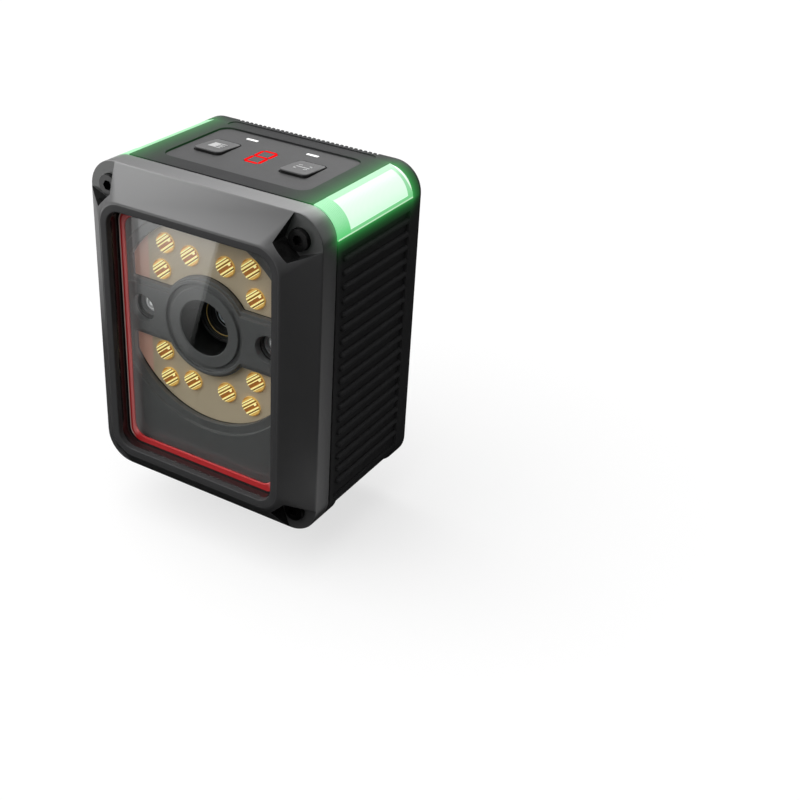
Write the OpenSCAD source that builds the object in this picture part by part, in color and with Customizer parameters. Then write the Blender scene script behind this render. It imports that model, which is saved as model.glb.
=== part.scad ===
// Fixed barcode reader: a sloped front frame with a window, bolted to a ribbed housing.
// Behind the window sit a ring of lamps, two aimers and a lens.
// The top carries a key panel and two light bars.
// Millimetres. The front faces -Y and +Z is up. The origin is the middle of the rear mounting face.

/* [Housing] */
// Width of the housing
body_w = 58; // [56:0.5:64]
// Height of the housing
body_h = 73.5; // [72:0.5:82]
// Depth of the housing, from the rear face to the parting line
body_d = 32.4; // [32:0.2:38]
// Radius of the four long edges
corner_r = 6.5; // [5.5:0.25:8]
// Thickness of the housing's walls
wall = 2.4; // [2.2:0.1:2.8]
// Thickness of the rear wall
rear_wall = 5; // [4.5:0.25:5.5]
// Depth of the ribbed field on each side
relief = 0.8; // [0.5:0.1:1]
// Width of one side rib
rib_w = 1.4; // [1:0.1:1.8]
// Distance between side ribs
rib_pitch = 3.1; // [2.8:0.1:3.3]
// Number of ribs on each side
rib_count = 18; // [12:1:18]
// Plain margin in front of the ribs
rib_front = 3.8; // [2.4:0.2:5]
// Plain margin behind the ribs
rib_rear = 4.2; // [3:0.2:6]
// Distance between cooling grooves on the rear face
fin_pitch = 1.2; // [1.1:0.1:1.8]
// Width of one cooling groove
fin_w = 0.6; // [0.5:0.05:0.7]
// Depth of the cooling grooves
fin_d = 0.6; // [0.4:0.1:0.8]

/* [Rear mounting] */
// Distance of the mounting holes from the housing's sides
mount_side = 6; // [5.5:0.25:7]
// Distance between mounting holes up the height
mount_z = 48; // [40:1:52]
// Tapping drill of the mounting holes
mount_drill = 2.5; // [2:0.1:3.3]
// Depth of the mounting holes
mount_depth = 6; // [5:0.25:6.5]

/* [Front frame] */
// Straight part of the frame's side
rim_d = 5; // [4.6:0.1:5.6]
// Whole depth of the frame
frame_d = 10.4; // [10:0.1:11.4]
// How far the sloped faces run in
slope_in = 6.35; // [6:0.05:7]
// Width of the flat lip round the window
lip_w = 2.05; // [1.6:0.05:2.6]
// Outer corner radius of the lip
lip_r = 5.5; // [4.5:0.1:6.5]
// Depth of the window below the lip
recess_d = 3.4; // [3:0.1:3.8]
// Width of the shoulder that the window gasket seats on
shoulder_w = 1.2; // [0.9:0.1:1.5]
// Thickness of the seal between frame and housing
seal_t = 0.4; // [0.3:0.1:0.8]
// How far the seal lies inside the outer edge
seal_in = 0.35; // [0.2:0.05:0.6]

/* [Corner screws] */
// Distance of each screw from both sides of its corner
screw_in = 5.25; // [5:0.05:5.5]
// Thread diameter
screw_d = 2.5; // [2:0.1:3]
// Head diameter
screw_head_d = 4.5; // [4:0.1:4.7]
// Head height
screw_head_h = 2.5; // [2:0.1:3]
// How far the head sinks into its seat
screw_sink = 1.5; // [1:0.1:1.8]
// Length of the shank
screw_l = 14; // [12:0.5:18]
// Width of the hexagon socket
screw_key = 2; // [1.5:0.1:2.5]
// Where a corner pocket meets the edge of the frame
pocket_edge = 6.7; // [6.2:0.1:7]
// Far reach of a corner pocket from the side
pocket_far = 8.8; // [8.5:0.1:9.2]
// Near reach of a corner pocket from the side
pocket_near = 5.4; // [5.2:0.1:5.8]

/* [Window] */
// Thickness of the glass
glass_t = 1.1; // [0.8:0.1:1.4]
// Thickness of the gasket in front of the glass
gasket_t = 0.5; // [0.4:0.1:0.8]
// Visible width of the gasket
gasket_w = 1.7; // [1.2:0.1:2.2]

/* [Optics] */
// Height of the lens axis above the middle
lens_z = 5.15; // [4.5:0.05:6]
// Thickness of the carrier plate
carrier_t = 2.1; // [1.8:0.1:2.6]
// Radius of the round lamp opening
opening_r = 22.8; // [22:0.1:23]
// Distance of the lamp opening's straight sides from the window's sides
opening_side = 0.9; // [0.7:0.1:1.5]
// Depth of the step round the lamp opening
step_d = 0.6; // [0.3:0.1:0.9]
// Width of the step round the lamp opening
step_w = 2; // [1.2:0.1:2.2]
// Half height of the cross bar
bar_h = 6.5; // [6:0.1:7]
// Radius of the lens boss
boss_ring_r = 11.3; // [10.5:0.1:11.6]
// Radius of the raised ring round the lens hole
ring_r = 8.9; // [8.2:0.1:9.4]
// Depth of the groove round the raised ring
groove_d = 0.7; // [0.4:0.1:1]
// Radius of the lens hole
lens_hole_r = 6.3; // [6.1:0.1:6.6]
// Wall of the hood behind the lens hole
hood_t = 1.2; // [0.8:0.1:1.4]
// Distance of the aimers from the window's sides
aimer_side = 4.2; // [4:0.1:4.5]
// Radius of the aimer holes in the carrier
aimer_hole_r = 3.1; // [2.6:0.1:3.2]
// Diameter of a lamp's reflector cup
lamp_d = 4.5; // [3.6:0.1:4.6]
// Height of a lamp's reflector cup
lamp_h = 0.9; // [0.7:0.05:1.2]
// Thickness of the lamp board
lamp_board_t = 1.6; // [1:0.1:2]
// Diameter of the lens barrel
barrel_d = 11.8; // [11:0.1:12]

/* [Control panel] */
// Distance of the panel from the housing's sides
panel_side = 10.8; // [10.4:0.1:11.8]
// Length of the panel, front to rear
panel_l = 22.5; // [21.9:0.1:22.9]
// Distance of the panel's rear edge from the rear face
panel_rear = 5.6; // [5.4:0.1:6]
// Thickness of the panel
panel_t = 1.2; // [1:0.1:1.4]
// How far the panel lies below the top
panel_sink = 0.35; // [0.2:0.05:0.4]
// Width of a key
key_w = 6.7; // [6:0.1:7]
// Length of a key
key_l = 8.4; // [7.4:0.1:9]
// Distance of each key's middle from the panel's side
key_side = 7.25; // [7:0.05:7.6]
// Height of a key's front edge above the panel
key_rise = 0.7; // [0.5:0.05:1]
// Travel of a key
key_travel = 0.5; // [0.3:0.05:0.6]
// Width of the digit
digit_w = 4.2; // [3.8:0.1:4.6]
// Length of the digit
digit_l = 7.9; // [7.4:0.1:8.6]
// Width of one stroke of the digit
stroke_w = 0.55; // [0.45:0.05:0.8]
// Distance of each indicator's middle from the panel's side
indicator_side = 10.35; // [10:0.05:10.9]
// Length of an indicator window
indicator_l = 2.9; // [2.4:0.1:3.4]

/* [Light bars] */
// Thickness of a light bar
bar_t = 1.8; // [1.6:0.05:1.9]
// Angle of a light bar's lower edge round the corner
bar_low_angle = 2; // [1:1:8]
// Angle of a light bar's upper edge round the corner
bar_high_angle = 85; // [80:1:88]
// Distance of a light bar's rear end from the rear face
bar_rear = 3.4; // [2.5:0.1:5]

/* [Ports] */
// Distance between the two ports
port_gap = 16; // [15:0.25:18]
// Distance of the ports from the rear face
port_y = 14.5; // [13.5:0.25:16]
// Thread diameter of a port
port_d = 12; // [11:0.25:12.5]
// Length of a port below its flange
port_l = 8.4; // [7:0.2:12]
// Diameter of a port's flange
port_flange_d = 14.4; // [13.6:0.1:14.6]
// Thickness of a port's flange
port_flange_t = 1.6; // [1.2:0.1:2.2]

/* [Hidden] */
$fn = 64;

// Clearances
tight = 0.05;
slip = 0.1;
loose = 0.3;
key_gap = 0.25;
over = 1;

// Planes from front to rear
y_house = -body_d;
y_frame = y_house - seal_t;
y_rim = y_frame - rim_d;
y_lip = y_frame - frame_d;
y_gasket = y_lip + recess_d;
y_glass = y_gasket + gasket_t;
y_carrier = y_glass + glass_t + slip;
y_lamps = y_carrier + carrier_t;
y_board = y_lamps + lamp_board_t;

// Half sizes of the housing, its cavity and the window
half_w = body_w / 2;
half_h = body_h / 2;
in_w = half_w - wall;
in_h = half_h - wall;
edge_x = half_w - corner_r;
edge_z = half_h - corner_r;
open_w = half_w - slope_in - lip_w;
open_h = half_h - slope_in - lip_w;
open_r = lip_r - lip_w;
seat_w = open_w + shoulder_w;
seat_h = open_h + shoulder_w;
seat_r = open_r + shoulder_w;

// Corner screws and their bosses
screw_x = half_w - screw_in;
screw_z = half_h - screw_in;
boss_r = 3.6;
screw_room = 1.5;
boss_cap = 1.5;
boss_l = screw_l - rim_d - seal_t + screw_sink + screw_room + boss_cap;

// Sandwich of carrier, lamp board and optics frame
stud_r = 2.5;
stud_side = 3.5;
stud_end = 3.9;
stud_x = open_w - stud_side;
stud_z = open_h - stud_end;
post_r = 3.7;
post_l = 4.2;
frame_t = 2;
y_frame_plate = y_board + post_l;
y_ledge = y_frame_plate + frame_t;
ledge_w = 5;
ledge_h = 44;
ledge_t = 4;
ledge_cap = 0.8;
ledge_root = 0.8;
small_r = 1;
small_head_r = 1.9;
small_head_h = 1.2;
frame_screw_z = 18;
frame_screw_x = in_w - ledge_w / 2;
holder_l = 9.9;
y_rear_lens = y_ledge + holder_l;
opening_x = open_w - opening_side;
aimer_x = open_w - aimer_side;
image_board_t = 1.4;

// Control panel, keys and the board under them
// The keys, the digit and the indicators stand a little to the left of the middle.
z_panel = half_h - panel_sink;
z_shelf = z_panel - panel_t;
z_ceiling = half_h - wall;
panel_y = -panel_rear - panel_l / 2;
panel_w = body_w - 2 * panel_side;
panel_r = 2.6;
shelf_w = 1.5;
aside = -0.8;
key_ahead = 0.15;
key_x = panel_w / 2 - key_side;
key_y = panel_y - key_ahead;
key_r = 1;
flange_w = 0.9;
flange_t = 0.8;
control_t = 1.2;
post_drop = 3.2;
z_control = z_ceiling - post_drop;
control_post_r = 1.6;
control_in = 2.6;
control_margin = 1.55;
control_drill_r = 0.85;
control_head_r = 1.5;
control_head_h = 1;
control_cap = 0.6;
control_root = 0.6;
board_r = 1.5;
control_half = screw_x - boss_r - 2 * slip;
control_x = control_half - control_margin;
control_y = panel_l / 2 - control_in;
switch_w = 4.2;
switch_h = 1;
switch_stem_r = 1.1;
switch_stem_h = 0.6;
digit_behind = 0.4;
digit_margin = 1.3;
stroke_gap = 0.3;
digit_y = panel_y + digit_behind;
digit_block_w = digit_w + 2 * digit_margin;
digit_block_l = digit_l + 2 * digit_margin;
indicator_rear = 3.1;
indicator_stem_in = 0.2;
indicator_x = panel_w / 2 - indicator_side;
indicator_y = panel_y + panel_l / 2 - indicator_rear;
indicator_w = 0.8;
indicator_foot = 0.5;
plunger_r = 1.4;

// Main board and what it carries
main_gap = 6.4;
main_y = rear_wall + main_gap;
main_t = 1.6;
main_side = 5.6;
main_under = 10;
main_over = 9;
main_r = 2;
main_screw_side = 4;
main_screw_end = 3;
main_boss_r = 2.6;
main_cap = 1;
main_w = 2 * (in_w - main_side);
main_low = half_h - main_under;
main_high = half_h - main_over;
main_screw_x = main_w / 2 - main_screw_side;
main_screw_z = main_low - main_screw_end;
chip_w = 12;
chip_t = 1.2;
pad_t = 1;
pad_out = 0.5;
pad_boss_out = 2;
mount_boss_r = 3.2;
mount_cap = 1.5;
mount_boss_l = mount_depth - rear_wall + mount_cap;
mount_x = body_w - 2 * mount_side;

// Ports
seal_washer_t = 0.6;
neck_in = 1;
shell_t = 0.4;
neck_r = port_d / 2 - neck_in;
core_r = neck_r - shell_t;
nut_t = 2;
nut_gap = 1.4;
neck_out = 2;
z_bottom = -half_h;
z_floor = z_bottom + wall;
z_neck = z_floor + nut_t + neck_out;
port_board_t = 1.4;
port_board_side = 2;
washer_in = 0.4;
contact_r = 0.5;
contact_circle = 2.7;
contact_bore_r = 0.3;
contact_in = 0.4;
contact_cap = 1;
key_groove_w = 1.2;
key_groove_d = 0.8;

// Draws its children, a flat shape in X and Z, as a slab between two Y planes.
module slab(y0, y1) translate([0, y1, 0]) rotate([90, 0, 0]) linear_extrude(y1 - y0) children();

// Draws its children, a flat shape in X and Y, as a plate between two heights.
module plate(z0, z1) translate([0, 0, z0]) linear_extrude(z1 - z0) children();

// A rod along Y, at x and z.
module rod(r, y0, y1, x = 0, z = 0) translate([x, y1, z]) rotate([90, 0, 0]) cylinder(r = r, h = y1 - y0);

// A post along Z, at x and y.
module post(r, z0, z1, x = 0, y = 0) translate([x, y, z0]) cylinder(r = r, h = z1 - z0);

// A rectangle with round corners, centred.
module round_rect(w, h, r) {
    square([w - 2 * r, h], center = true);
    square([w, h - 2 * r], center = true);
    for (x = [-1, 1], y = [-1, 1]) translate([x * (w / 2 - r), y * (h / 2 - r)]) circle(r);
}

// A box given by its lowest and highest corners.
module block(low, high) translate(low) cube(high - low);

// Repeats its children at plus and minus x and z.
module four(x, z) for (sx = [-1, 1], sz = [-1, 1]) translate([sx * x, 0, sz * z]) children();

// Draws its children and their mirror image across the middle.
module pair() {
    children();
    mirror([1, 0, 0]) children();
}

// The part of a ring round the upper right long edge between two radii and two angles.
module edge_sector(r0, r1, a0, a1) translate([edge_x, edge_z]) intersection() {
    difference() {
        circle(r1);
        circle(r0);
    }
    polygon([[0, 0], 2 * r1 * [cos(a0), sin(a0)], 2 * r1 * [cos(a1), sin(a1)]]);
}

module main_housing() color("#1c1c1d") difference() {
    union() {
        difference() {
            slab(y_house, 0) round_rect(body_w, body_h, corner_r);
            slab(y_house - over, -rear_wall) round_rect(2 * in_w, 2 * in_h, corner_r - wall);
            pair() side_field();
        }
        pair() side_ribs();
        frame_bosses();
        pair() frame_ledge();
        control_posts();
        rear_bosses();
    }
    frame_tapped_holes();
    panel_recess();
    label_recess();
    pair() light_bar_slot();
    cooling_grooves();
    mounting_holes();
    at_ports() post(neck_r + tight, z_bottom - over, z_floor + over);
}

// The lowered field on the right side, bare of ribs.
// Behind a plain collar it runs on, at half the depth, round the lower edge.
field_under = 2.4;
field_down = 0.3;
field_front = 1.2;
collar = 3;
rib_under = 4.85;
field_top = edge_z - field_under;
rib_top = edge_z - rib_under;
module side_field() {
    block([half_w - relief, y_house + field_front, -edge_z - field_down],
        [half_w + over, -rib_rear, field_top]);
    mirror([0, 0, 1]) slab(y_house + collar, -rib_rear)
        edge_sector(corner_r - relief / 2, corner_r + over, 0, 90);
}

// Round ribs along the right side, flush with its margins, each with a round front end.
module side_ribs() for (i = [0 : rib_count - 1]) {
    z = rib_top - i * rib_pitch;
    x = half_w - rib_w / 2;
    rod(rib_w / 2, y_house + rib_front, -rib_rear + tight, x, z);
    translate([x, y_house + rib_front, z]) sphere(rib_w / 2);
}

// Bosses in the four corners for the frame's screws, held inside the housing's outline.
module frame_bosses() intersection() {
    four(screw_x, screw_z) rod(boss_r, y_house, y_house + boss_l);
    slab(y_house, 0) round_rect(body_w - wall, body_h - wall, corner_r - wall / 2);
}

module frame_tapped_holes() four(screw_x, screw_z)
    rod(screw_d / 2 + tight, y_house - over, y_house + boss_l - boss_cap);

// A ledge inside the right wall that the optics frame is screwed to.
module frame_ledge() difference() {
    block([in_w - ledge_w, y_ledge, -ledge_h / 2], [in_w + ledge_root, y_ledge + ledge_t, ledge_h / 2]);
    for (z = [-1, 1])
        rod(small_r + tight, y_ledge - over, y_ledge + ledge_t - ledge_cap, frame_screw_x, z * frame_screw_z);
}

// Places of the four posts that the control board hangs from.
module at_control_posts() for (x = [-1, 1], y = [-1, 1])
    translate([x * control_x, panel_y + y * control_y, 0]) children();

// Posts under the top wall for the control board.
module control_posts() at_control_posts() difference() {
    post(control_post_r, z_control, z_ceiling + control_root);
    post(control_drill_r, z_control - over, z_control + post_drop - control_cap);
}

// Bosses on the rear wall: behind the mounting holes, under the main board and under the processor.
module rear_bosses() {
    four(mount_x / 2, mount_z / 2) rod(mount_boss_r, -rear_wall - mount_boss_l, -rear_wall + over);
    difference() {
        four(main_screw_x, main_screw_z) rod(main_boss_r, -main_y, -rear_wall + over);
        four(main_screw_x, main_screw_z) rod(small_r + tight, -main_y - over, -rear_wall - main_cap);
    }
    slab(-main_y + chip_t + pad_t, -rear_wall + over) square(chip_w + 2 * pad_boss_out, center = true);
}

// Seat for the panel in the top wall, with a window for what stands under it.
module panel_recess() translate([0, panel_y, 0]) {
    plate(z_shelf, half_h + over) round_rect(panel_w + 2 * slip, panel_l + 2 * slip, panel_r + slip);
    plate(z_ceiling - over, z_shelf + over)
        round_rect(panel_w - 2 * shelf_w, panel_l - 2 * shelf_w, panel_r);
}

// Shallow bare recess behind the panel.
label_l = 3.4;
label_d = 0.2;
label_behind = 2.5;
label_flat = 0.2;
label_out = 0.8;
label_w = panel_w + 2 * label_out;
label_y = panel_rear - label_behind;
module label_recess() translate([0, -label_y, 0])
    plate(half_h - label_d, half_h + over) round_rect(label_w, label_l, (label_l - label_flat) / 2);

// Slot for the right light bar, and the opening that lets its lamps shine into it.
lamp_behind = 3.5;
strip_gap = 0.6;
lamp_front = body_d - boss_l - strip_gap;
lamp_rear = bar_rear + lamp_behind;
lamp_low_angle = 32;
lamp_high_angle = 64;
slot_angle = 0.4;
module light_bar_slot() {
    slab(y_house - over, -bar_rear + tight)
        edge_sector(corner_r - bar_t - tight, corner_r + over,
            bar_low_angle - slot_angle, bar_high_angle + slot_angle);
    slab(-lamp_front, -lamp_rear)
        edge_sector(corner_r - wall - over, corner_r, lamp_low_angle, lamp_high_angle);
}

// Vertical cooling grooves in the rear face, open at the top edge.
fin_side = 1.4;
fin_field = mount_x / 2 - mount_boss_r - fin_side;
fin_low = -edge_z;
fin_count = floor(fin_field / fin_pitch);
module cooling_grooves() for (i = [-fin_count : fin_count])
    block([i * fin_pitch - fin_w / 2, -fin_d, fin_low], [i * fin_pitch + fin_w / 2, over, half_h + over]);

module mounting_holes() four(mount_x / 2, mount_z / 2) rod(mount_drill / 2, -mount_depth, over);

// Solid wedge of the frame, from the full outline to the lip.
skin = 0.01;
module frame_outside() hull() {
    slab(y_rim, y_frame) round_rect(body_w, body_h, corner_r);
    slab(y_lip, y_lip + skin) round_rect(body_w - 2 * slope_in, body_h - 2 * slope_in, lip_r);
}

// Outline of the upper right corner pocket.
module corner_pocket() translate([half_w, half_h]) polygon([
    [over, over], [-pocket_edge, over], [-pocket_edge, 0], [-pocket_far, -pocket_near],
    [-pocket_near, -pocket_far], [0, -pocket_edge], [over, -pocket_edge]]);

module front_bezel() color("#4a4a4c") difference() {
    frame_outside();
    slab(y_lip - over, y_gasket + over) round_rect(2 * open_w, 2 * open_h, open_r);
    slab(y_gasket, y_frame + over) round_rect(2 * seat_w, 2 * seat_h, seat_r);
    pair() slab(y_lip - over, y_rim) {
        corner_pocket();
        mirror([0, 1]) corner_pocket();
    }
    four(screw_x, screw_z) {
        rod(screw_head_d / 2 + slip, y_rim - over, y_rim + screw_sink);
        rod(screw_d / 2 + slip, y_rim, y_frame + over);
    }
}

module bezel_screws() color("#1a1a1a") four(screw_x, screw_z) {
    head = y_rim + screw_sink;
    rod(screw_d / 2, head, head + screw_l);
    difference() {
        rod(screw_head_d / 2, head - screw_head_h, head);
        translate([0, head - screw_head_h / 2, 0]) rotate([90, 0, 0])
            cylinder(d = screw_key / cos(30), h = screw_head_h, $fn = 6);
    }
}

module bezel_seal() color("#0c0c0c") slab(y_frame, y_house) difference() {
    round_rect(body_w - 2 * seal_in, body_h - 2 * seal_in, corner_r - seal_in);
    round_rect(2 * in_w, 2 * in_h, corner_r - wall);
}

// Angle-section ring: a front lip over the glass and a skirt round its edge.
glass_in = 0.7;
gasket_round = 1.2;
module window_gasket() color("#b0262b") difference() {
    slab(y_gasket, y_glass + glass_t)
        round_rect(2 * (seat_w - tight), 2 * (seat_h - tight), seat_r - tight);
    slab(y_gasket - over, y_glass + over)
        round_rect(2 * (open_w - gasket_w), 2 * (open_h - gasket_w), open_r - gasket_w + gasket_round);
    slab(y_glass, y_glass + glass_t + over)
        round_rect(2 * (open_w - glass_in + tight), 2 * (open_h - glass_in + tight), open_r);
}

module window_glass() color("#c8d0d0", 0.3) slab(y_glass, y_glass + glass_t)
    round_rect(2 * (open_w - glass_in), 2 * (open_h - glass_in), open_r - tight);

// Flat outline of the lamp opening: a circle cut off at the sides, less the cross bar and the lens boss.
module lamp_opening(grow) difference() {
    intersection() {
        translate([0, lens_z]) circle(opening_r + grow);
        square([2 * (opening_x + grow / 3), body_h], center = true);
    }
    translate([0, lens_z]) {
        square([body_w, 2 * (bar_h - grow / 2)], center = true);
        circle(boss_ring_r - grow / 4);
    }
}

// Black plate with the lamp opening, the lens hole with its hood, and studs that locate the lamp board.
stud_drill = 0.8;
stud_cap = 0.8;
groove_w = 1.1;
module optics_carrier() color("#3c3c3d") difference() {
    union() {
        slab(y_carrier, y_lamps) round_rect(2 * (seat_w - loose), 2 * (seat_h - loose), seat_r - loose);
        rod(lens_hole_r + hood_t, y_lamps - tight, y_frame_plate - slip, 0, lens_z);
        four(stud_x, stud_z) rod(stud_r, y_lamps - tight, y_board);
    }
    slab(y_carrier - over, y_board + over) lamp_opening(0);
    slab(y_carrier - over, y_carrier + step_d) lamp_opening(step_w);
    translate([0, 0, lens_z]) {
        rod(lens_hole_r, y_carrier - over, y_ledge);
        for (x = [-1, 1]) rod(aimer_hole_r, y_carrier - over, y_lamps + over, x * aimer_x);
        slab(y_carrier - over, y_carrier + groove_d) difference() {
            circle(ring_r + groove_w);
            circle(ring_r);
        }
    }
    four(stud_x, stud_z) rod(stud_drill, y_lamps - stud_cap, y_board + over);
}

// Places of the lamps round the lens axis: one quarter, which is mirrored up and across.
// They are shares of the window's half width and of the lamp opening's radius.
lamp_shares = [[0.531, 0.701], [0.221, 0.647], [0.589, 0.425]];
module at_lamps() translate([0, 0, lens_z])
    for (p = lamp_shares) four(p[0] * open_w, p[1] * opening_r) children();

module led_board() color("#8f8269") difference() {
    slab(y_lamps, y_board)
        round_rect(2 * (seat_w - 2 * loose), 2 * (seat_h - 2 * loose), seat_r - 2 * loose);
    rod(lens_hole_r + hood_t + loose, y_lamps - over, y_board + over, 0, lens_z);
    for (x = [-1, 1]) rod(aimer_r + loose, y_lamps - over, y_board + over, x * aimer_x, lens_z);
    four(stud_x, stud_z) rod(stud_r + slip, y_lamps - over, y_board + over);
}

// Gold cups on the lamp board, each with a sloped inside.
cup_wall = 0.15;
emitter_r = 1.1;
emitter_h = 0.35;
module led_reflectors() color("#d9a441") at_lamps() translate([0, y_lamps, 0]) rotate([90, 0, 0])
    difference() {
        cylinder(d = lamp_d, h = lamp_h);
        translate([0, 0, -over]) cylinder(r = emitter_r + tight, h = lamp_h + over);
        translate([0, 0, lamp_h / 3])
            cylinder(r1 = emitter_r + tight, r2 = lamp_d / 2 - cup_wall, h = lamp_h * 2 / 3 + skin);
    }

module led_emitters() color("#e8c878") at_lamps() rod(emitter_r, y_lamps - emitter_h, y_lamps);

// Plate behind the lamp board, screwed to the housing's ledges.
// Its posts press the board to the carrier.
aimer_r = 2.7;
module optics_frame() color("#2b2b2c") difference() {
    union() {
        slab(y_frame_plate, y_ledge) {
            square([2 * (in_w - loose), ledge_h], center = true);
            square([2 * (stud_x + post_r), 2 * (stud_z + post_r)], center = true);
        }
        four(stud_x, stud_z) rod(post_r, y_board, y_frame_plate + tight);
    }
    rod(barrel_d / 2 + loose, y_frame_plate - over, y_ledge + over, 0, lens_z);
    for (x = [-1, 1]) rod(aimer_r + slip, y_frame_plate - over, y_ledge + over, x * aimer_x, lens_z);
    four(stud_x, stud_z) rod(small_r + slip, y_board - over, y_ledge + over);
    four(frame_screw_x, frame_screw_z) rod(small_r + slip, y_frame_plate - over, y_ledge + over);
}

// Screws from behind, through the frame's posts into the carrier's studs.
stud_screw_d = 2 * (stud_drill - tight);
module optics_screws() color("#8c8c8e") four(stud_x, stud_z) {
    rod(stud_screw_d / 2, y_lamps - stud_cap + 2 * slip, y_ledge);
    rod(small_head_r, y_ledge, y_ledge + small_head_h);
}

// Screws from the front, through the frame into the housing's ledges.
module frame_screws() color("#8c8c8e") four(frame_screw_x, frame_screw_z) {
    rod(small_r, y_frame_plate, y_ledge + ledge_t - ledge_cap - slip);
    rod(small_head_r, y_frame_plate - small_head_h, y_frame_plate);
}

// Turned barrel with a stepped front, a glass seat and a bore to the rear.
barrel_front = 1.8;
barrel_bore_r = 2.6;
barrel_edge = 0.3;
barrel_steps = 4;
step_run = 0.5;
step_fall = 0.35;
glass_r = 3.4;
glass_back = 1.6;
lens_t = 1.2;
lens_curve_r = 8;
module lens_barrel() color("#232324") translate([0, y_rear_lens - sensor_room, lens_z]) rotate([90, 0, 0]) {
    l = y_rear_lens - sensor_room - y_frame_plate + barrel_front;
    r = barrel_d / 2;
    steps = [for (i = [0 : barrel_steps - 1], e = [0, 1])
        [r - barrel_edge - (i + 1) * step_run, l - (i + e) * step_fall]];
    rotate_extrude() polygon(concat(
        [[barrel_bore_r, 0], [r, 0], [r, l - barrel_edge], [r - barrel_edge, l]], steps,
        [for (e = [0, lens_t]) [glass_r, l - glass_back - e]],
        [[barrel_bore_r, l - glass_back - lens_t]]));
}

// A lens that is flat behind and domed in front.
module dome(r, t, curve_r) rotate([90, 0, 0]) intersection() {
    cylinder(r = r, h = t + over);
    translate([0, 0, t - curve_r]) sphere(curve_r);
}

// Front element in the barrel's seat.
module lens_glass() color("#30363a", 0.5)
    translate([0, y_frame_plate - barrel_front + glass_back + lens_t, lens_z])
        dome(glass_r - tight, lens_t, lens_curve_r);

// Block behind the frame that the barrel screws into, standing on the image board.
holder_w = 17;
holder_r = 2;
sensor_room = 2;
sensor_w = 7.6;
sensor_h = 6.6;
sensor_t = 1;
sensor_gap = 0.4;
module lens_holder() color("#202021") difference() {
    slab(y_ledge, y_rear_lens) translate([0, lens_z]) round_rect(holder_w, holder_w, holder_r);
    rod(barrel_d / 2 + tight, y_ledge - over, y_rear_lens - sensor_room, 0, lens_z);
    slab(y_rear_lens - sensor_room - over, y_rear_lens + over) translate([0, lens_z])
        square([sensor_w + 2 * sensor_gap, sensor_h + 2 * sensor_gap], center = true);
}

image_w = 24;
image_h = 22;
module image_board() color("#1d4a34") slab(y_rear_lens, y_rear_lens + image_board_t)
    translate([0, lens_z]) round_rect(image_w, image_h, board_r);

module image_sensor() color("#2f3338") slab(y_rear_lens - sensor_t, y_rear_lens)
    translate([0, lens_z]) square([sensor_w, sensor_h], center = true);

// Aimer: a tube through the lamp board with a flange behind the optics frame, on the right.
module aimer() translate([aimer_x, 0, lens_z]) difference() {
    union() {
        rod(aimer_r, y_aimer, y_ledge);
        rod(aimer_r + aimer_flange, y_ledge, y_ledge + aimer_flange_t);
    }
    rod(aimer_bore_r, y_aimer - over, y_ledge - aimer_cap);
}
aimer_flange = 1.7;
aimer_flange_t = 1.5;
aimer_cap = 1;
aimer_in = 0.45;
y_aimer = y_lamps + aimer_in;
aimer_bore_r = 2.2;
aimer_lens_in = 0.3;
aimer_lens_t = 1.4;
aimer_curve_r = 4;
module aimer_left() color("#262627") mirror([1, 0, 0]) aimer();
module aimer_right() color("#262627") aimer();

// Small domed lenses in the aimers' bores.
module aimer_lenses() color("#b9c2c6", 0.5) pair()
    translate([aimer_x, y_aimer + aimer_lens_in + aimer_lens_t, lens_z])
        dome(aimer_bore_r - tight, aimer_lens_t, aimer_curve_r);

// Light bar of the right upper edge, as long as its slot.
module light_bar() slab(y_house, -bar_rear)
    edge_sector(corner_r - bar_t, corner_r, bar_low_angle, bar_high_angle);
module light_pipe_left() color("#b8f5c4") mirror([1, 0, 0]) light_bar();
module light_pipe_right() color("#b8f5c4") light_bar();

// Lamp strip behind the right light bar: a narrow board across the inside of the edge.
strip_t = 1;
strip_half = 2.4;
strip_r = sqrt(pow(corner_r - wall, 2) - pow(strip_half, 2)) - tight;
strip_angle = 45;
chip_h = 0.7;
module on_strip() translate([edge_x, 0, edge_z]) rotate([0, -strip_angle, 0]) children();
module strip_board() on_strip()
    block([strip_r - strip_t, -lamp_front, -strip_half], [strip_r, -lamp_rear, strip_half]);
module status_board_left() color("#e6e6e0") mirror([1, 0, 0]) strip_board();
module status_board_right() color("#e6e6e0") strip_board();

lamp_chips = 4;
chip_half = 0.8;
module status_leds() color("#d8ffd8") pair() on_strip() for (i = [0 : lamp_chips - 1]) {
    y = -lamp_front + (i + 0.5) * (lamp_front - lamp_rear) / lamp_chips;
    block([strip_r, y - chip_half, -chip_half], [strip_r + chip_h, y + chip_half, chip_half]);
}

// One bar of the digit, pointed at both ends, along X or along Y.
module stroke(l, grow) {
    w = stroke_w / 2 + grow;
    e = l / 2 + grow;
    polygon([[-e, 0], [-e + w, w], [e - w, w], [e, 0], [e - w, -w], [-e + w, -w]]);
}

// The seven bars of the digit, widened by grow for the slots that they stand in.
module digit_bars(grow) translate([aside, digit_y]) {
    across = digit_w - stroke_w;
    along = (digit_l - stroke_w) / 2;
    for (i = [-1 : 1]) translate([0, i * along]) stroke(across - stroke_gap, grow);
    for (x = [-1, 1], y = [-1, 1])
        translate([x * across / 2, y * along / 2]) rotate(90) stroke(along - stroke_gap, grow);
}

module indicator_bars(grow) for (x = [-1, 1]) translate([aside + x * indicator_x, indicator_y])
    square([indicator_l + 2 * grow, indicator_w + 2 * grow], center = true);

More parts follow.
